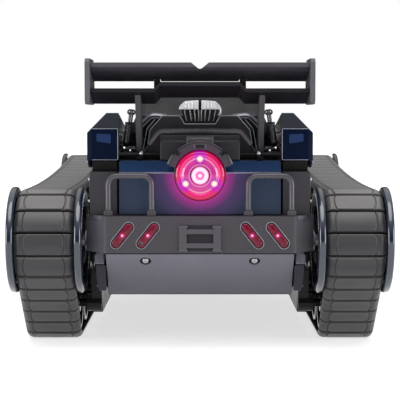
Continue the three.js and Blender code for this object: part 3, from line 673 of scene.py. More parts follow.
centre = (0, *DRIVE)
outer = Shape().turn("x", centre, ring_profile(*OUTER_RING), n=96, loop=True)
pair("ring_outer_{side}", outer, BLUE_RING, "drive_{side}", sharp=50,
     replaces="drive_ring_outer_{side}", slot="blue_ring")
flipped = [(INNER_RING[0] + INNER_RING[1] - x, r) for x, r in ring_profile(*INNER_RING)]
inner = Shape().turn("x", centre, flipped, n=96, loop=True)
pair("ring_inner_{side}", inner, BLUE_RING, "drive_{side}", sharp=50,
     replaces="drive_ring_inner_{side}", slot="blue_ring")
face = wheel_disc(DRIVE, 109, 117.2, 28, 24.2, 9, 4.2, 6, 8, 1.6)
face.join(wheel_disc(DRIVE, 80, 88, 28, 24.2, 9, 4.2, 6, 8, 1.6))
face.turn("x", centre, [(87, 26.5), (87, 28), (110, 28), (110, 26.5)], n=56, loop=True)
face.turn("x", centre, [(86, 4.2), (86, 8.6), (111, 8.6), (111, 4.2)], n=28, loop=True)
pair("drive_wheel_spoked_{side}", face, WHEEL_BLACK, "drive_{side}", bevel=0.4,
     replaces="drive_wheel_{side}", slot="black_plastic")
cap = Shape().turn("x", centre, [(116.2, 7.4), (118.2, 7.4), (119.4, 6.4), (119.9, 3.4), (119.9, 0.05)],
                   n=36)
for k in range(6):
    a = math.pi / 6 + k * math.pi / 3
    cap.turn("x", (0, DRIVE[0] + 25.9 * math.cos(a), DRIVE[1] + 25.9 * math.sin(a)),
             [(119.4, 1.5), (120.9, 1.5), (121.3, 1.1), (121.3, 0.05)], n=14)
pair("drive_hub_cap_{side}", cap, STEEL, "drive_{side}", bevel=0.15, slot="steel")
dress("drive_axle_{side}", STEEL, 0.2)
dress("motor_{side}", STEEL, 0.5)
dress("motor_pinion_{side}", STEEL, 0.1)

centre = (0, *IDLER)
wheel = Shape()
for x0, x1 in ((75.7, 79.5), (117.5, 121.3)):
    wheel.turn("x", centre, [(x0, 23.2), (x0, 33.4), (x0 + 0.9, 34.4), (x1 - 0.9, 34.4), (x1, 33.4),
                             (x1, 31.6),
                             (x1 - 1.1, 31.0), (x1 - 1.1, 25.8), (x1, 25.2), (x1, 23.2)],
               n=88, loop=True)
wheel.turn("x", centre, [(79, 24), (79, 28), (118, 28), (118, 24)], n=64, loop=True)
for x0, x1 in ((82, 88), (109, 115)):
    wheel.join(wheel_disc(IDLER, x0, x1, 27.5, 24.6, 8.6, 4.3, 6, 7, 1.2))
wheel.turn("x", centre, [(83, 4.3), (83, 8.2), (114, 8.2), (114, 4.3)], n=28, loop=True)
pair("idler_spoked_{side}", wheel, WHEEL_BLACK, "idler_{side}", bevel=0.4,
     replaces="idler_wheel_{side}", slot="black_plastic")
cap = Shape().turn("x", centre, [(114, 7), (116.4, 7), (117.4, 6), (117.4, 0.05)], n=6)
circle = [(0, IDLER[0] + 28.4 * math.cos(k * math.pi / 4), IDLER[1] + 28.4 * math.sin(k * math.pi / 4))
          for k in range(8)]
hexes(cap, "x", circle, 1.3, 120.1, 121.2)
pair("idler_nut_{side}", cap, STEEL, "idler_{side}", bevel=0.25, slot="steel")

for i, y in enumerate(ROAD_YS, 1):
    centre = (0, y, ROAD_Z)
    wheel = Shape()
    for x0, x1 in ((81.2, 90), (107, 115.8)):
        wheel.join(wheel_disc((y, ROAD_Z), x0, x1, 19, 15.6, 6.4, 3.3, 5, 5, 1.8))
    wheel.turn("x", centre, [(89, 3.3), (89, 5.8), (108, 5.8), (108, 3.3)], n=24, loop=True)
    pair(f"road_wheel_spoked_{{side}}_{i}", wheel, WHEEL_BLACK, f"roller_{{side}}_{i}", bevel=0.35,
         replaces=f"road_wheel_{{side}}_{i}", slot="black_plastic")
    cap = Shape().turn("x", centre, [(114.9, 5.2), (116.2, 5.2), (116.8, 4.4), (116.8, 0.05)], n=6)
    pair(f"road_wheel_nut_{{side}}_{i}", cap, STEEL, f"roller_{{side}}_{i}", bevel=0.2, slot="steel")

# ---------------------------------------------------------------- hull

dress("chassis_tub", BLACK, 0.8)
dress("skid_plate", SKID, 0.5)
dress("hull_deck", GREY_DARK, 0.9)
dress("rear_bumper", BUMPER, 0.7, 3)
dress("rear_panel", PANEL_PAINTED_GLOW, 0.7, 3)
dress("engine_cover", BLACK, 0.7)
dress("cabin_shell", GLOSS_BLACK, 1.6, 3)
dress("hood_panel", BLUE, 1.0, 3)
dress("front_bumper", GREY_DARK, 1.0, 3)
dress("battery_pack", CELLS, 0.8)
dress("battery_door", GREY_DARK, 0.3)
dress("battery_door_screw", STEEL, 0.2)
dress("circuit_board", BOARD, 0.2)
dress("spray_tank", TANK, 1.5, 3)
dress("power_switch", BLACK, 0.4)
dress("side_frame_{side}", BLACK, 0.8)
dress("side_pod_{side}", BLUE, 1.3, 4)


POD_LINE = [(-160, 53.2, 142), (-34, 60.6, 151), (75, 54, 126)]
liner = Shape()
for ends in zip(POD_LINE, POD_LINE[1:]):
    liner.skin([[(x - 0.35, y, 117.7), (x - 0.35, y, z + 0.6), (x + 0.2, y, z + 0.6), (x + 0.2, y, 117.7)]
                for y, x, z in ends])
pair("pod_liner_{side}", liner, GLOSS_BLACK, slot="black_plastic")
plinth = Shape().prism("x", [(-171.5, 115.6), (-20, 115.6), (60, 104.3), (73, 108), (73, 117.3),
                             (-159, 117.3),
                             (-166, 119.8), (-171.5, 122.2)], 53.4, 69.4)
pair("pod_plinth_{side}", plinth, BLACK, slot="black_plastic")


def tail_plane(y, z, off):
    """A point off the outer face of the sloping skid plate."""
    return y - SKID_NORMAL[0] * off, z - SKID_NORMAL[1] * off


SKID_NORMAL = (0.7297, 0.684)
SKID_TILT = math.atan2(SKID_NORMAL[1], SKID_NORMAL[0])

# painted reflection: a lighter, glossier blue patch on each pod's rear face
reflection_patch = Shape().plate([(57.2, -175, 133.2), (66.4, -175, 134.6), (66.4, -175, 139.6), (57.2, -175, 139.2)],
                      0.0, 0.25, rounding=0.8)
pair("pod_painted_reflection_{side}", reflection_patch, BLUE_GLOSS, slot="blue_body")

edge = Shape().skin([
    [(x, -187.15, 115.2), (x, -187.15, 115.75), (x, -179.2, 122.3), (x, -176.5, 122.3), (x, -176.5, 121.6),
     (x, -186.6, 115.2)] for x in (-51.1, 51.1)])
make("panel_top_edge", edge, BLUE_EDGE, bevel=0.15, slot="blue_body")
# painted highlight: a pale line along the crease at the top of the rear panel
crease_highlight = Shape().box(-51.1, 51.1, -187.45, -187.0, 114.7, 115.15)
make("panel_crease_highlight", crease_highlight, PALE_EDGE, bevel=0.1, slot="grey_plastic")
# painted highlights: pale lines along the inner, top and bottom edges of each pod's rear face
pod_highlight_lines = Shape().tube([(52.75, -174.95, 122.9), (52.75, -174.95, 142.7)], 0.2, n=8)
pod_highlight_lines.tube([(53.0, -174.9, 142.75), (69.4, -174.9, 142.75)], 0.2, n=8)
pod_highlight_lines.tube([(53.0, -174.95, 122.8), (69.4, -174.95, 122.8)], 0.16, n=8)
pair("pod_rear_highlights_{side}", pod_highlight_lines, PALE_EDGE, sharp=60, slot="blue_body")
# painted highlights: pale lines down the outer edge and along the top of each corner box
edges = Shape().tube([(69.75, -184.55, 89.2), (69.75, -184.55, 115.0)], 0.35, n=8)
edges.tube([(53.4, -184.75, 115.15), (69.4, -184.75, 115.15)], 0.25, n=8)
pair("corner_highlights_{side}", edges, GREY_LIGHT, sharp=60, slot="grey_plastic")

screws = Shape()
for x in (-34.7, 34.7):
    y, z = tail_plane(-185.05, 59.8, 0.9)
    head = Shape().turn("y", (0, 0, 0), [(-1.0, 1.3), (-0.7, 2.0), (0.0, 2.4), (0.9, 2.4)], n=20)
    for a in (0, math.pi / 2):
        head.join(Shape().box(-1.5, 1.5, -1.25, -0.9, -0.3, 0.3).placed(Matrix.Rotation(a, 4, "Y")))
    screws.join(head.placed(Matrix.Translation((x, y, z)) @ Matrix.Rotation(SKID_TILT, 4, "X")))
make("skid_screws", screws, STEEL, bevel=0.1, slot="steel")

block = Shape().prism("y", [(61, 56.5), (66.9, 56.5), (67.4, 57.6), (67.4, 62.4), (65.6, 64.2), (61, 64.2)],
                      -184.6, -176.4)
pair("frame_shoe_{side}", block, GREY_LIGHT, bevel=0.7, segments=3, slot="grey_plastic")
arm = Shape().skin([
    [(60.3, -183.0, 56.1), (67, -183.0, 56.1), (67, -175.4, 56.1), (60.3, -175.4, 56.1)],
    [(60.3, -181.0, 47.0), (66.6, -181.0, 47.0), (66.6, -175.3, 45.0), (60.3, -175.3, 45.0)],
    [(60.3, -177.2, 38.5), (65.0, -177.2, 38.5), (65.0, -175.3, 38.5), (60.3, -175.3, 38.5)]])
pair("frame_arm_{side}", arm, ARM_BLUE, bevel=0.6, slot="black_plastic")
# painted highlight: a pale strip along the top of each bumper corner
cap = Shape().skin([
    [(61.2, -196.0, 85.6), (61.6, -194.6, 88.05), (62.0, -193.0, 88.05), (62.4, -193.8, 85.6)],
    [(73.2, -178.3, 85.6), (71.6, -179.6, 88.05), (70.2, -179.0, 88.05), (71.8, -178.6, 85.6)]])
pair("bumper_corner_highlight_{side}", cap, GREY_LIGHT, bevel=0.3, slot="grey_plastic")

recess = Shape().box(-8.4, 8.4, -196.25, -195.9, 66.0, 82.4)
make("ladder_recess", recess, RECESS_GREY, slot="black_plastic")
ladder = Shape()
for z in (69.5, 78.3):
    ladder.box(-8.8, 8.8, -197.3, -196.0, z - 1.5, z + 1.5)
for sign in (-1, 1):
    ladder.box(sign * 10.7 - 2.3, sign * 10.7 + 2.3, -197.6, -196.0, 66.0, 81.8)
    for z in (66.4, 81.4):
        ladder.box(sign * 10.7 - 2.9, sign * 10.7 + 2.9, -197.8, -196.0, z - 0.8, z + 0.8)
make("bumper_ladder", ladder, HANDLE_GREY, bevel=0.35, slot="grey_plastic")

# ---------------------------------------------------------------- engine bay

plate = Shape().prism("y", [(-35.6, 126.4), (35.6, 126.4), (33.2, 141.5), (25.3, 150.6), (14.0, 150.6),
                            (10.5, 145.1),
                            (-10.5, 145.1), (-14.0, 150.6), (-25.3, 150.6), (-33.2, 141.5)], -127.25,
                      -126.9)
make("engine_plate", plate, CASE_GREY, slot="black_plastic")

# painted highlights: pale lines along the engine plate's edges and a second outline behind them
highlight_lines = Shape()
ribs = Shape()
for sign in (-1, 1):
    rim = [(10.4, 145.5), (13.8, 151.0), (25.4, 151.0), (33.6, 141.7), (36.2, 127.0)]
    highlight_lines.tube([(sign * x, -127.2, z) for x, z in rim], 0.24, n=8)
    highlight_lines.tube([(sign * (x + 2.4), -122.5, z + 0.6) for x, z in rim[2:]], 0.26, n=8)
    for k in range(9):
        x = sign * (14.8 + k * 1.25)
        ribs.box(min(x, x + sign * 0.7), max(x, x + sign * 0.7), -126.6, -70, 150.7, 151.9)
highlight_lines.tube([(-10.4, -127.2, 145.5), (10.4, -127.2, 145.5)], 0.24, n=8)
make("engine_plate_highlights", highlight_lines, PALE_EDGE, sharp=60, slot="grey_plastic")
make("engine_plate_ribs", ribs, HANDLE_GREY, bevel=0.15, slot="grey_plastic")

pipes = Shape()
for y in (-120, -106.5, -93, -79.5):
    path = fillet([(23, y, 149.4), (32.5, y, 150.4), (39.6, y, 143.6), (41.5, y, 126)], 5, 6)
    pipes.tube(path, 3.1, n=16)
    pipes.turn("z", (41.5, y, 0), [(126, 3.9), (128.4, 3.9), (129, 3.2), (129, 2.4)], n=16)
pair("exhaust_pipes_{side}", pipes, PIPE_BLACK, sharp=50, slot="gloss_black")

for k, y in enumerate((-132, -100), 1):
    low, high = Vector((50.4, y, 128.5)), Vector((46.8, y, 153.5))
    run = high - low
    across = Vector((0, 1, 0))
    over = run.normalized().cross(across)
    coil = []
    for step in range(15 * 12 + 1):
        t = step / (15 * 12)
        a = 2 * math.pi * step / 15
        coil.append(low + run * (0.18 + 0.5 * t) + (across * math.cos(a) + over * math.sin(a)) * 1.9)
    pair(f"damper_spring_{{side}}_{k}", Shape().tube(coil, 0.5, n=8), PIPE_BLACK, sharp=60,
         slot="gloss_black")
    damper = Shape().tube([low, low + run * 0.5], 1.3, n=14)
    damper.tube([low + run * 0.14, low + run * 0.18], 2.5, n=16)
    damper.tube([low + run * 0.68, low + run * 0.73], 2.5, n=16)
    pair(f"damper_body_{{side}}_{k}", damper, BLACK, sharp=40, bevel=0.2, slot="black_plastic")
    rod = Shape().tube([low + run * 0.45, high], 0.8, n=12)
    rod.turn("y", tuple(high), [(-1.2, 1.0), (-1.2, 2.1), (1.2, 2.1), (1.2, 1.0)], n=18, loop=True)
    rod.turn("y", tuple(low), [(-2.2, 1.3), (-1.6, 1.9), (1.6, 1.9), (2.2, 1.3)], n=18)
    pair(f"damper_rod_{{side}}_{k}", rod, PIPE_BLACK, sharp=40, slot="gloss_black")

rails = Shape()
rails.box(44.5, 51.2, -149, -66, 126, 127.4)
for y in range(-144, -70, 12):
    rails.box(42.8, 51.4, y, y + 5, 126, 129.2)
pair("engine_rail_{side}", rails, BLACK, bevel=0.4, slot="black_plastic")
bolts = Shape()
for x, y, z in ((46.2, -147.6, 127.3), (50.1, -147.2, 129.2), (44.0, -139, 127.3), (50.2, -118, 127.3)):
    bolts.turn("z", (x, y, 0), [(z, 1.2), (z + 0.9, 1.2), (z + 1.3, 0.8)], n=6)
pair("engine_bolts_{side}", bolts, CHROME, bevel=0.12, slot="silver_trim")

# the air intake: a black ribbed neck under a polished two-part scoop
neck = Shape().skin([[(-10.4, y, 145.6), (10.4, y, 145.6), (12.8, y, 155.4),
                      (-12.8, y, 155.4)] for y in (-111, -84)])
make("intake_neck", neck, GLOSS_BLACK, bevel=0.4, replaces="air_intake", slot="gloss_black")
fins = Shape()
for x in (-9.2, -6.0, -3.2, -0.9, 0.9, 3.2, 6.0, 9.2):
    fins.skin([[(x - 0.35, -111.9, 147.4), (x + 0.35, -111.9, 147.4), (x + 0.35, -110.8, 147.4),
                (x - 0.35, -110.8, 147.4)],
               [(1.18 * x - 0.35, -111.9, 155.2), (1.18 * x + 0.35, -111.9, 155.2),
                (1.18 * x + 0.35, -110.8, 155.2), (1.18 * x - 0.35, -110.8, 155.2)]])
make("intake_fins", fins, STEEL, bevel=0.1, slot="steel")
half = [(1.0, 155.3), (14.5, 155.3), (14.2, 157.0), (13.2, 158.6), (10.4, 161.0), (1.0, 161.6)]
scoop = Shape().skin([[(x, y, z) for x, z in half] for y in (-113.8, -82.2)])
for x in (3.2, 5.4, 7.6, 9.8):
    scoop.box(x - 0.45, x + 0.45, -114.3, -113.6, 156.0, 160.6 - 0.1 * x)
pair("intake_scoop_{side}", scoop, WHITE_CHROME, bevel=0.45, segments=3, slot="silver_trim")
split = Shape().box(-1.0, 1.0, -113.2, -82.6, 155.3, 160.9)
split.turn("z", (0, -108, 0), [(160.8, 1.3), (162.6, 1.1), (162.9, 0.7)], n=12)
make("intake_split", split, GLOSS_BLACK, bevel=0.2, slot="gloss_black")
stay = Shape().tube([(14.0, -113.2, 156), (14.2, -113.2, 153.2), (13.2, -113.2, 151.4)], 0.55, n=10)
make("intake_stay", stay, WHITE_CHROME, sharp=60, slot="silver_trim")

# ---------------------------------------------------------------- cabin, hood and nose

SILL_REAR, SILL_FRONT = Vector((51.8, -61.5, 139)), Vector((51.8, 80, 124))
ROOF_REAR, ROOF_FRONT = Vector((40, -42, 165.5)), Vector((38, 22, 164.5))


def on_flank(along, up):
    """A point on the cabin's sloping flank: along from rear to front, up from the sill to the roof."""
    sill = SILL_REAR.lerp(SILL_FRONT, along)
    return tuple(sill.lerp(ROOF_REAR.lerp(ROOF_FRONT, along), up))


def flank_patch(rear, front, low, high):
    return [on_flank(rear, low), on_flank(front, low), on_flank(front, high), on_flank(rear, high)]


def slope(start, end):
    """Axes on a sloping face from start to end, both (y, z): X across, Y along it and Z out of it."""
    along = Vector((0, end[0] - start[0], end[1] - start[1])).normalized()
    out = Vector((1, 0, 0)).cross(along)
    matrix = Matrix((Vector((1, 0, 0)), along, out)).transposed().to_4x4()
    matrix.translation = (0, *start)
    return matrix


SCREEN = [(51.8, 80, 124), (-51.8, 80, 124), (-38, 22, 164.5), (38, 22, 164.5)]
ROOF = [(40, -42, 165.5), (38, 22, 164.5), (-38, 22, 164.5), (-40, -42, 165.5)]
make("windscreen_seal", Shape().plate(SCREEN, 0, 0.45, 4.6, 4), BLACK, bevel=0.15, slot="black_plastic")
make("windscreen", Shape().plate(SCREEN, 0, 0.7, 6.0, 3), TINT, bevel=0.2, slot="gloss_black")
wipers = Shape()
for x in (-27, 9):
    wipers.tube([(x, 77.2, 127.2), (x + 9, 68, 134), (x + 24, 62, 138.6)], 0.55, n=8)
    wipers.turn("y", (x, 77.2, 127.2), [(-0.9, 1.3), (0.9, 1.3)], n=12)
make("wipers", wipers, BLACK, sharp=50, slot="black_plastic")

make("roof_panel", Shape().plate(ROOF, 0, 0.8, 3.2, 5), ROOF_GREY, bevel=0.3, slot="grey_plastic")
ribs = Shape()
for x in (-24, -12, 0, 12, 24):
    ribs.plate([(x + 1.4, -32, 165.35), (x + 1.4, 12, 164.65), (x - 1.4, 12, 164.65),
                (x - 1.4, -32, 165.35)],
               0.7, 1.6, 0, 1)
make("roof_ribs", ribs, GREY_DARK, bevel=0.3, slot="grey_plastic")

DOOR = (0.41, 0.86)
seal, glass = Shape(), Shape()
for rear, front in ((0.07, 0.37), DOOR):
    seal.plate(flank_patch(rear, front, 0.2, 0.9), 0, 0.5, 0.0, 2.5)
    glass.plate(flank_patch(rear, front, 0.2, 0.9), 0, 0.8, 1.2, 2)
pair("side_window_seal_{side}", seal, BLACK, bevel=0.15, slot="black_plastic")
pair("side_window_{side}", glass, TINT, bevel=0.2, slot="gloss_black")
mirror_arm = Shape().tube([on_flank(0.93, 0.3), (56.5, 62, 139.5), (59.5, 60, 140.5)], 0.9, n=10)
mirror_arm.prism("y", [(58, 137.5), (65.5, 138.2), (66.5, 143.5), (58.6, 144)], 56, 61)
pair("door_mirror_{side}", mirror_arm, GLOSS_BLACK, bevel=0.7, segments=3, slot="gloss_black")

HOOD = slope((80.5, 123.5), (140, 106.5))
NOSE = slope((140, 106.5), (158, 97))
hood = Shape().plate([(-16, 4, 0), (16, 4, 0), (13, 56, 0), (-13, 56, 0)], -0.5, 1.5, 0, 3).placed(HOOD)
make("hood_scoop", hood, BLUE, bevel=0.7, segments=3, slot="blue_body")
grilles, slats = Shape(), Shape()
for sign in (-1, 1):
    grilles.join(Shape().plate([(sign * 33 - 11, 14, 0), (sign * 33 + 11, 14, 0), (sign * 33 + 9, 46, 0),
                                (sign * 33 - 9, 46, 0)], 0, 0.4, 0, 2).placed(HOOD))
    for k in range(7):
        y = 17.5 + 4.1 * k
        slats.join(Shape().prism("x", [(y, 0.3), (y + 2.0, 0.3), (y + 2.4, 1.5), (y + 1.8, 1.5)],
                                 sign * 33 - 8.4, sign * 33 + 8.4).placed(HOOD))
make("hood_vents", grilles, BLACK, bevel=0.15, slot="black_plastic")
make("hood_vent_slats", slats, GREY_DARK, bevel=0.15, slot="grey_plastic")

lamps, bezels = Shape(), Shape()
for sign in (-1, 1):
    eye = [(sign * 38 - 11, 3, 0), (sign * 38 + 11, 3, 0), (sign * 38 + 11, 17, 0), (sign * 38 - 11, 17, 0)]
    bezels.join(Shape().plate(eye, -0.3, 0.8, 0, 3).placed(NOSE))
    for k in (-1, 1):
        lamps.join(Shape().turn("z", (sign * 38 + k * 5.2, 10, 0),
                                [(0.5, 4.2), (1.1, 4.2), (1.7, 3.4), (2.0, 1.6),
                                                                  (2.0, 0.05)], n=28).placed(NOSE))
make("headlamp_bezels", bezels, GLOSS_BLACK, bevel=0.35, slot="gloss_black")
make("headlamps", lamps, HEADLAMP, sharp=50, slot="silver_trim")
strip = Shape().plate([(-22, 6, 0), (22, 6, 0), (22, 12, 0), (-22, 12, 0)], 0, 0.7, 0, 2).placed(NOSE)
make("nose_strip", strip, BLACK, bevel=0.2, slot="black_plastic")

FACE = slope((184, 80), (181, 66))
bars, hooks = Shape(), Shape()
grille = Shape().plate([(-27, 1.5, 0), (27, 1.5, 0), (24, 12.5, 0), (-24, 12.5, 0)], 0, 0.5, 0,
                       2).placed(FACE)
for k in range(4):
    bars.join(Shape().box(-23.5, 23.5, 2.8 + 2.5 * k, 3.8 + 2.5 * k, 0.3, 1.5).placed(FACE))
for x in (-12, 0, 12):
    bars.join(Shape().box(x - 0.6, x + 0.6, 2, 12, 0.3, 1.2).placed(FACE))
make("front_grille", grille, BLACK, bevel=0.15, slot="black_plastic")
make("front_grille_bars", bars, GREY_LIGHT, bevel=0.2, slot="grey_plastic")
fogs, rims = Shape(), Shape()
for sign in (-1, 1):
    hooks.tube(fillet([(sign * 31, 182.4, 71.0), (sign * 31, 187.6, 71.0), (sign * 37, 187.6, 71.0),
                       (sign * 37, 182.4, 71.0)], 2.2, 6), 1.3, n=14)
    for x in (31, 37):
        hooks.turn("y", (sign * x, 0, 71.0), [(181.6, 2.2), (183.4, 2.2), (183.9, 1.7)], n=16)
    rims.join(Shape().turn("z", (sign * 47.5, 6, 0), [(0, 5.2), (1.0, 5.0), (1.2, 4.4), (0.4, 4.0)],
                           n=32).placed(FACE))
    fogs.join(Shape().turn("z", (sign * 47.5, 6, 0), [(0.3, 4.0), (0.8, 3.8), (1.1, 2.0), (1.1, 0.05)],
                           n=28).placed(FACE))
make("tow_hooks", hooks, STEEL, sharp=50, slot="steel")
make("fog_lamp_rims", rims, GLOSS_BLACK, bevel=0.15, slot="gloss_black")
make("fog_lamps", fogs, HEADLAMP, sharp=50, slot="silver_trim")

# ---------------------------------------------------------------- flanks and underside

FIN_SECTION = ((72.8, 0), (72.8, 3.4), (74.3, 4.4), (74.3, 2.8))
TRUSS_SECTION = ((66.8, -0.9), (68.2, -0.6), (68.2, 0.6), (66.8, 0.9))

vents, fins = Shape(), Shape()
vents.plate([(72.55, -118, 124.5), (72.55, -62, 124.5), (72.55, -50, 141), (72.55, -106, 141)], 0, 0.45, 0,
            3)
for k in range(6):
    y = -113.5 + 8.6 * k
    fins.skin([[(x, y + t + back, z) for x, t in FIN_SECTION] for back, z in ((0, 126.3), (9.2, 139.2))])
pair("pod_vent_{side}", vents, BLACK, bevel=0.15, slot="black_plastic")
pair("pod_vent_fins_{side}", fins, BLUE_GLOSS, bevel=0.35, slot="blue_body")
# painted highlight: a pale line along each pod's lower outer edge
highlight_lines = Shape().tube([(72.75, -171, 121.5), (72.6, -36, 121.5), (69.3, 72, 121.5)], 0.55, n=10)
pair("pod_side_highlight_{side}", highlight_lines, PALE_EDGE, sharp=60, slot="grey_plastic")

armour = Shape().plate([(70, -176, 92), (70, 38, 92), (70, 38, 105.2), (70, -20, 113), (70, -176, 113)], 0,
                       1.1, 0, 3)
pair("deck_armour_{side}", armour, GREY, bevel=0.4, slot="grey_plastic")
ribs = Shape()
for k in range(10):
    ribs.prism("x", [(-148 + 24 * k, 66.4), (-143 + 24 * k, 66.4), (-144 + 24 * k, 86.6),
                     (-147 + 24 * k, 86.6)],
               69.9, 71.4)
ribs.box(69.9, 71.0, -152, 78, 86.2, 88.2)
pair("deck_ribs_{side}", ribs, GREY_DARK, bevel=0.4, slot="grey_plastic")
bolts = Shape()
hexes(bolts, "x", [(0, y, 95.5) for y in range(-168, 38, 34)], 1.5, 71.0, 72.3)
hexes(bolts, "x", [(0, y, 109.5) for y in range(-168, -20, 34)], 1.5, 71.0, 72.3)
hexes(bolts, "x", [(0, y, 53) for y in range(-110, 80, 38)], 1.7, 66.9, 68.4)
hexes(bolts, "x", [(0, y, 43.5) for y in (-102, -60, -17, 26, 74)], 1.4, 73.4, 74.7)
pair("flank_bolts_{side}", bolts, STEEL, sharp=40, slot="steel")
truss = Shape()
for k in range(5):
    y = -118 + 38 * k
    for ends in (((y, 49.4), (y + 18, 55.6)), ((y + 18, 55.6), (y + 36, 49.4))):
        truss.skin([[(x, along, up + dz) for x, dz in TRUSS_SECTION] for along, up in ends])
pair("frame_truss_{side}", truss, GREY_DARK, bevel=0.2, slot="grey_plastic")

belly = Shape()
for x in (-46, 46):
    belly.box(x - 2.5, x + 2.5, -150, 108, 33.2, 34.1)
for y in (-130, -95, 75):
    belly.box(-42, 42, y - 2, y + 2, 33.2, 34.1)
make("belly_ribs", belly, GREY_DARK, bevel=0.3, slot="grey_plastic")
studs = Shape()
hexes(studs, "z", [(x, y, 67.2) for x in (-54.5, 54.5) for y in (-140, -75, -10, 55)], 2.0, -34.4, -33.1)
make("belly_bolts", studs, STEEL, sharp=40, slot="steel")

# ---------------------------------------------------------------- tail lamps

LEAN = math.radians(51.5)
TAIL_Z = 75.9


def capsule(radius, half=6.5, n=12):
    """A capsule outline in (x, z) about the origin, its top leaning to +x."""
    dx, dz = half * math.cos(LEAN), half * math.sin(LEAN)
    points = []
    for cx, cz, a0 in ((dx, dz, LEAN - math.pi / 2), (-dx, -dz, LEAN + math.pi / 2)):
        points += [(cx + radius * math.cos(a0 + math.pi * k / n),
                    cz + radius * math.sin(a0 + math.pi * k / n))
                   for k in range(n + 1)]
    return points


def tail_lens_material():
    """Deep red lens, lit round its middle."""
    n = Nodes("tail_lens_red")
    glow = n.ramp(n.spread(n.away(), 0, 1, 0.0, 0.0095), [
        (0.0, (3.4, 2.9, 3.3, 1)), (0.06, (3.0, 1.4, 2.2, 1)), (0.12, srgb(236, 40, 140)),
        (0.24, srgb(110, 10, 44)),
        (1.0, srgb(84, 8, 30))])
    n.put("Emission Color", glow)
    n.put("Emission Strength", 0.42)
    n.put("Base Color", n.ramp(n.noise(420, 3), [(0.35, srgb(52, 6, 18)), (0.65, srgb(92, 14, 34))]))
    n.put("Roughness", n.spread(n.noise(150, 2), 0.12, 0.26))
    n.put("Normal", n.bump(n.noise(900, 2), 0.5, 0.0003))
    n.put("Specular IOR Level", 0.3)
    return n.material


TAIL_LENS = tail_lens_material()
for side, sign in SIDES:
    for k, x in enumerate((32.8, 48.9)):
        def outline(radius, y):
            return [(sign * (x - px), y, TAIL_Z + pz) for px, pz in capsule(radius)]

        lens = Shape().skin([outline(2.6, -193.5), outline(2.6, -196.2), outline(2.1, -196.7),
                             outline(1.1, -197.0)])
        make(f"tail_lens_{side}_{k + 1}", lens, TAIL_LENS, sharp=60, at=(sign * x, -196.5, TAIL_Z),
             replaces=f"tail_lamp_{side}" if k == 0 else None, slot="lamp_red")
        gasket = Shape().skin([outline(3.3, -195.9), outline(3.3, -196.3), outline(2.6, -196.3),
                               outline(2.6, -195.9)],
                              loop=True)
        make(f"tail_gasket_{side}_{k + 1}", gasket, GLOSS_BLACK, sharp=60, slot="black_plastic")
        rim = Shape().skin([outline(3.6, -195.9), outline(3.55, -196.4), outline(3.4, -196.6),
                            outline(3.25, -196.4),
                            outline(3.25, -195.9)], loop=True)
        make(f"tail_rim_{side}_{k + 1}", rim, PALE_EDGE, sharp=60, slot="silver_trim")

sensor = Shape().turn("y", (-36.5, 0, 71.2), [(-196.4, 1.1), (-197.2, 1.1), (-197.5, 0.8), (-197.5, 0.05)],
                      n=16)
make("tail_sensor", sensor, HANDLE_GREY, sharp=50, slot="grey_plastic")

# ---------------------------------------------------------------- lamp


def lamp_material():
    """Pink translucent lamp face, brightest at the three lights set round its middle."""
    n = Nodes("lamp_pink")
    colour = n.ramp(n.spread(n.away(flat=True), 0, 1, 0.0, 0.016), [
        (0.0, srgb(150, 20, 84)), (0.37, srgb(130, 14, 74)), (0.42, srgb(255, 150, 210)),
        (0.47, srgb(206, 60, 160)),
        (0.63, srgb(222, 62, 150)), (0.67, srgb(255, 176, 216)), (0.71, srgb(238, 52, 140)),
        (0.84, srgb(232, 8, 96)),
        (0.93, srgb(214, 4, 86)), (1.0, srgb(136, 2, 52))])
    for a in (90, 210, 330):
        x, z = 10.4 * math.cos(math.radians(a)), 10.4 * math.sin(math.radians(a))
        beyond = n.away((1.12 * x, 0, 1.12 * z), flat=True)
        flare = n.ramp(n.spread(beyond, 0, 1, 0.0, 0.0056), [(0.0, 0.95), (0.5, 0.7), (1.0, 0.0)])
        colour = n.mix(flare, colour, srgb(176, 6, 206))
        middle = n.away((x, 0, z), flat=True)
        spot = n.ramp(n.spread(middle, 0, 1, 0.0, 0.0023), [(0.0, 1.0), (0.4, 0.8), (1.0, 0.0)])
        colour = n.mix(spot, colour, (1.7, 1.5, 0.8, 1))
    n.put("Emission Color", colour)
    n.put("Emission Strength", 0.7)
    n.put("Specular IOR Level", 0.3)
    n.put("Base Color", n.mix(0.9, colour, srgb(46, 0, 20)))
    n.put("Roughness", n.spread(n.noise(140, 2), 0.06, 0.16))
    n.put("Coat Weight", 0.35)
    return n.material


def nozzle_material():
    """Clear pink nozzle, painted glowing as if lit through by the lamp: a pale lip, a deeper band inside it
    and a bright middle.
    """
    n = Nodes("nozzle_pink_painted_glow")
    glow = n.ramp(n.spread(n.away(flat=True), 0, 1, 0.0, 0.0056), [
        (0.0, srgb(255, 222, 238)), (0.14, srgb(255, 214, 234)), (0.24, srgb(214, 120, 168)),
        (0.42, srgb(206, 112, 160)),
        (0.52, srgb(255, 196, 224)), (0.8, srgb(255, 214, 232)), (1.0, srgb(220, 96, 160))])
    # painted glow: emission on the nozzle, which is no lamp itself
    n.put("Emission Color", glow)
    n.put("Emission Strength", 0.72)
    n.put("Base Color", n.mix(0.6, glow, srgb(90, 30, 56)))
    n.put("Roughness", n.spread(n.noise(140, 2), 0.06, 0.16))
    return n.material


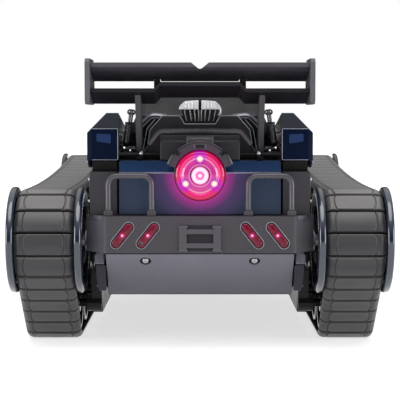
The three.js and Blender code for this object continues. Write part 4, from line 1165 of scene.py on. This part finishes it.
LAMP_PINK = lamp_material()
NOZZLE_PINK = nozzle_material()
case = Shape().prism("x", [(-176, 122.4), (-152, 122.4), (-152, 137.6), (-171, 137.6), (-174.6, 136.3),
                           (-176, 134.2)], -25.5, 25.5)
case.box(-25.9, 25.9, -173.0, -155, 136.2, 138.2)
case.box(-14, 14, -188.4, -175.8, 122.8, 129)
make("lamp_case", case, CASE_GREY, bevel=0.7, segments=3, replaces="lamp_housing", slot="black_plastic")
clip = Shape().prism("x", [(-192, 131.4), (-176, 131.4), (-176, 137.9), (-190.6, 137.9), (-192, 136.6)],
                     -8.6, 8.6)
for x in (-7.6, 7.6):
    clip.prism("x", [(-192.5, 132), (-176, 132), (-176, 138.3), (-191, 138.3), (-192.5, 136.9)], x - 0.7,
               x + 0.7)
make("lamp_clip", clip, GREY, bevel=0.35, slot="black_plastic")
centre = (0, 0, LAMP_Z)
plate = Shape().turn("y", centre, [(-187.3, 6.6), (-187.3, 16.5), (-189.4, 16.5), (-189.6, 16.2),
                                   (-189.6, 6.6)],
                     n=72, loop=True)
make("lamp_back_plate", plate, GLOSS_BLACK, sharp=40, slot="black_plastic")
collar = Shape()
deep = [(-187.4, 16.2), (-187.4, 21.1), (-195.6, 21.1), (-196.9, 20.2), (-196.9, 17.4), (-195.9, 16.2)]
thin = [(-187.4, 16.2), (-187.4, 19.0), (-195.6, 19.0), (-196.4, 18.4), (-196.4, 17.0), (-195.9, 16.2)]
for start, end, section, n in ((18, 41, deep, 10), (41, 49, thin, 4), (49, 131, deep, 32),
                               (131, 139, thin, 4),
                               (139, 162, deep, 10)):
    collar.arc(centre, section, start, end, n)
make("lamp_collar", collar, GREY_DARK, bevel=0.3, sharp=30, slot="black_plastic")
catches_and_highlight = Shape()
for start, end in ((19, 37), (143, 161)):
    catches_and_highlight.arc(centre, [(-189, 20.9), (-189, 22.0), (-195.0, 22.0), (-195.6, 20.9)], start, end, 10)
catches_and_highlight.box(-4.1, -2.9, -197.3, -196.4, LAMP_Z + 17.0, LAMP_Z + 19.6)
catches_and_highlight.box(2.9, 4.1, -197.3, -196.4, LAMP_Z + 17.0, LAMP_Z + 19.6)
# painted highlight: a thin pale arc along the top of the collar's outer edge
catches_and_highlight.arc(centre, [(-195.6, 21.1), (-195.6, 21.6), (-196.1, 21.6), (-196.1, 21.1)], 49, 131, 32)
make("lamp_catches_and_rim_highlight", catches_and_highlight, HANDLE_GREY, bevel=0.2, slot="grey_plastic")
slot = Shape().box(-2.9, 2.9, -197.1, -196.4, LAMP_Z + 17.2, LAMP_Z + 19.3)
make("lamp_slot", slot, GLOSS_BLACK, bevel=0.2, slot="black_plastic")
lens = Shape().turn("y", centre, [(-190, 6.3), (-190, 15.8), (-194.4, 15.8), (-195.6, 15.1), (-196.2, 13.6),
                                  (-196.0, 12.4), (-195.5, 11.6), (-195.9, 10.9), (-196.3, 10.2),
                                  (-196.9, 8.2),
                                  (-197.2, 6.9), (-196.8, 6.3)], n=72, loop=True)
make("lamp_face", lens, LAMP_PINK, sharp=40, at=centre, replaces="lamp_lens", slot="lamp_red")
nozzle = Shape().turn("y", centre, [(-180, 2.7), (-180, 5.5), (-198.6, 5.5), (-199.3, 5.1), (-199.5, 4.4),
                                    (-199.3, 3.4),
                                    (-198.6, 2.8)], n=40, loop=True)
make("nozzle_body", nozzle, NOZZLE_PINK, sharp=50, at=centre, replaces="spray_nozzle", slot="lamp_red")
make("nozzle_core", Shape().turn("y", centre, [(-190, 2.6), (-197.4, 2.6), (-198.2, 1.7), (-198.4, 0.9)],
                                 n=28),
     NOZZLE_PINK, sharp=60, at=centre, slot="lamp_red")

# ---------------------------------------------------------------- handles, cage, wing

path = fillet([(30.5, -191.5, 89), (30.5, -191.5, 113.2), (57.9, -191.5, 113.2), (57.9, -191.5, 89)], 5.6,
              8)
grip = Shape().tube(path, 1.9, n=20)
pair("handle_bar_{side}", grip, HANDLE_GREY, sharp=60, replaces="grab_handle_{side}",
     slot="grey_plastic")
sockets = Shape()
for x in (30.5, 57.9):
    sockets.box(x - 2.8, x + 2.8, -194.2, -188.8, 88.0, 91.2)
    sockets.box(x - 2.3, x + 2.3, -193.8, -189.2, 91.2, 92.2)
pair("handle_sockets_{side}", sockets, GREY, bevel=0.5, slot="grey_plastic")

cage = fillet([(-52, -173.5, 126.3), (-37.3, -173.5, 126.3), (-26, -173.5, 141.1), (26, -173.5, 141.1),
               (37.3, -173.5, 126.3), (52, -173.5, 126.3)], 5, 6)
make("cage_tube", Shape().tube(cage, 1.1, n=18), BLACK, sharp=60, replaces="rear_cage",
     slot="black_plastic")
sleeves = fillet([(-32.6, -173.5, 132.5), (-26, -173.5, 141.1), (26, -173.5, 141.1), (32.6, -173.5, 132.5)],
                 5, 6)
make("cage_sleeve", Shape().tube(sleeves, 1.55, n=18), HANDLE_GREY, sharp=60, slot="grey_plastic")
knobs = Shape()
for sign in (-1, 1):
    knobs.ball((sign * 37.6, -173.9, 126.9), 1.7)
make("cage_knobs", knobs, STEEL, sharp=60, slot="steel")

dress("wing_endplate_{side}", WING_SIDE, 0.8, 3)
dress("wing_strut_{side}", GREY, 0.5)
dress("wing_lower_blade", WING_DARK, 0.6)
dress("wing_upper_blade", WING_BLACK, 0.6)

# ---------------------------------------------------------------- studio


def floor_material():
    n = Nodes("pale_floor")
    n.put("Base Color", n.ramp(n.noise(1.2, 2), [(0.3, 0.46), (0.7, 0.5)]))
    n.put("Roughness", 0.9)
    n.put("Specular IOR Level", 0.1)
    n.put("Emission Color", (1, 1, 1, 1))
    n.put("Emission Strength", 0.68)
    return n.material


def studio():
    mesh = bpy.data.meshes.new("floor")
    mesh.from_pydata([(-12, -12, 0), (12, -12, 0), (12, 12, 0), (-12, 12, 0)], [], [(0, 1, 2, 3)])
    mesh.materials.append(floor_material())
    floor = bpy.data.objects.new("floor", mesh)
    bpy.context.scene.collection.objects.link(floor)

    def light(name, kind, place, target, power, **settings):
        data = bpy.data.lights.new(name, kind)
        data.energy = power
        for key, value in settings.items():
            setattr(data, key, value)
        lamp = bpy.data.objects.new(name, data)
        lamp.location = place
        lamp.rotation_euler = (Vector(target) - Vector(place)).to_track_quat("-Z", "Y").to_euler()
        bpy.context.scene.collection.objects.link(lamp)

    light("sky_panel", "SUN", (0, -0.8, 2.2), (0, 0, 0), 1.75, angle=math.radians(50))
    for name, x in (("left_strip", -1.3), ("right_strip", 1.3)):
        light(name, "AREA", (x, -0.8, 0.3), (0, -0.05, 0.1), 11, shape="RECTANGLE", size=0.9, size_y=0.6)
    light("lamp_glow", "POINT", (0, -0.22, 0.1136), (0, 0, 0), 0.022, color=(0.9, 0.05, 0.6),
          shadow_soft_size=0.012)

    world = bpy.data.worlds.new("studio")
    world.use_nodes = True
    tree = world.node_tree
    background = tree.nodes["Background"]
    coord = tree.nodes.new("ShaderNodeTexCoord")
    split = tree.nodes.new("ShaderNodeSeparateXYZ")
    tree.links.new(coord.outputs["Generated"], split.inputs[0])
    ramp = tree.nodes.new("ShaderNodeValToRGB")
    stops = [(0.0, 0.04), (0.2, 0.06), (0.5, 0.45), (1.0, 1.15)]
    while len(ramp.color_ramp.elements) < len(stops):
        ramp.color_ramp.elements.new(0.5)
    for element, (place, level) in zip(ramp.color_ramp.elements, stops):
        element.position = place
        element.color = (level, level, level * 1.03, 1)
    tree.links.new(split.outputs["Z"], ramp.inputs["Fac"])
    path = tree.nodes.new("ShaderNodeLightPath")
    mix = tree.nodes.new("ShaderNodeMix")
    mix.data_type = "RGBA"
    mix.inputs[7].default_value = (1, 1, 1, 1)
    tree.links.new(path.outputs["Is Camera Ray"], mix.inputs[0])
    tree.links.new(ramp.outputs["Color"], mix.inputs[6])
    tree.links.new(mix.outputs[2], background.inputs["Color"])
    background.inputs["Strength"].default_value = 1.0
    bpy.context.scene.world = world

    camera_data = bpy.data.cameras.new("camera")
    camera_data.sensor_width = 36
    camera_data.lens = 1371.4 / 400 * 36
    camera_data.clip_start = 0.05
    camera_data.clip_end = 60
    camera = bpy.data.objects.new("camera", camera_data)
    camera.location = (0, -1.055, 0.1509)
    camera.rotation_euler = (math.radians(90) - math.atan(84 / 1371.4), 0, 0)
    bpy.context.scene.collection.objects.link(camera)
    bpy.context.scene.camera = camera
    bpy.context.scene.view_settings.view_transform = "Standard"


studio()
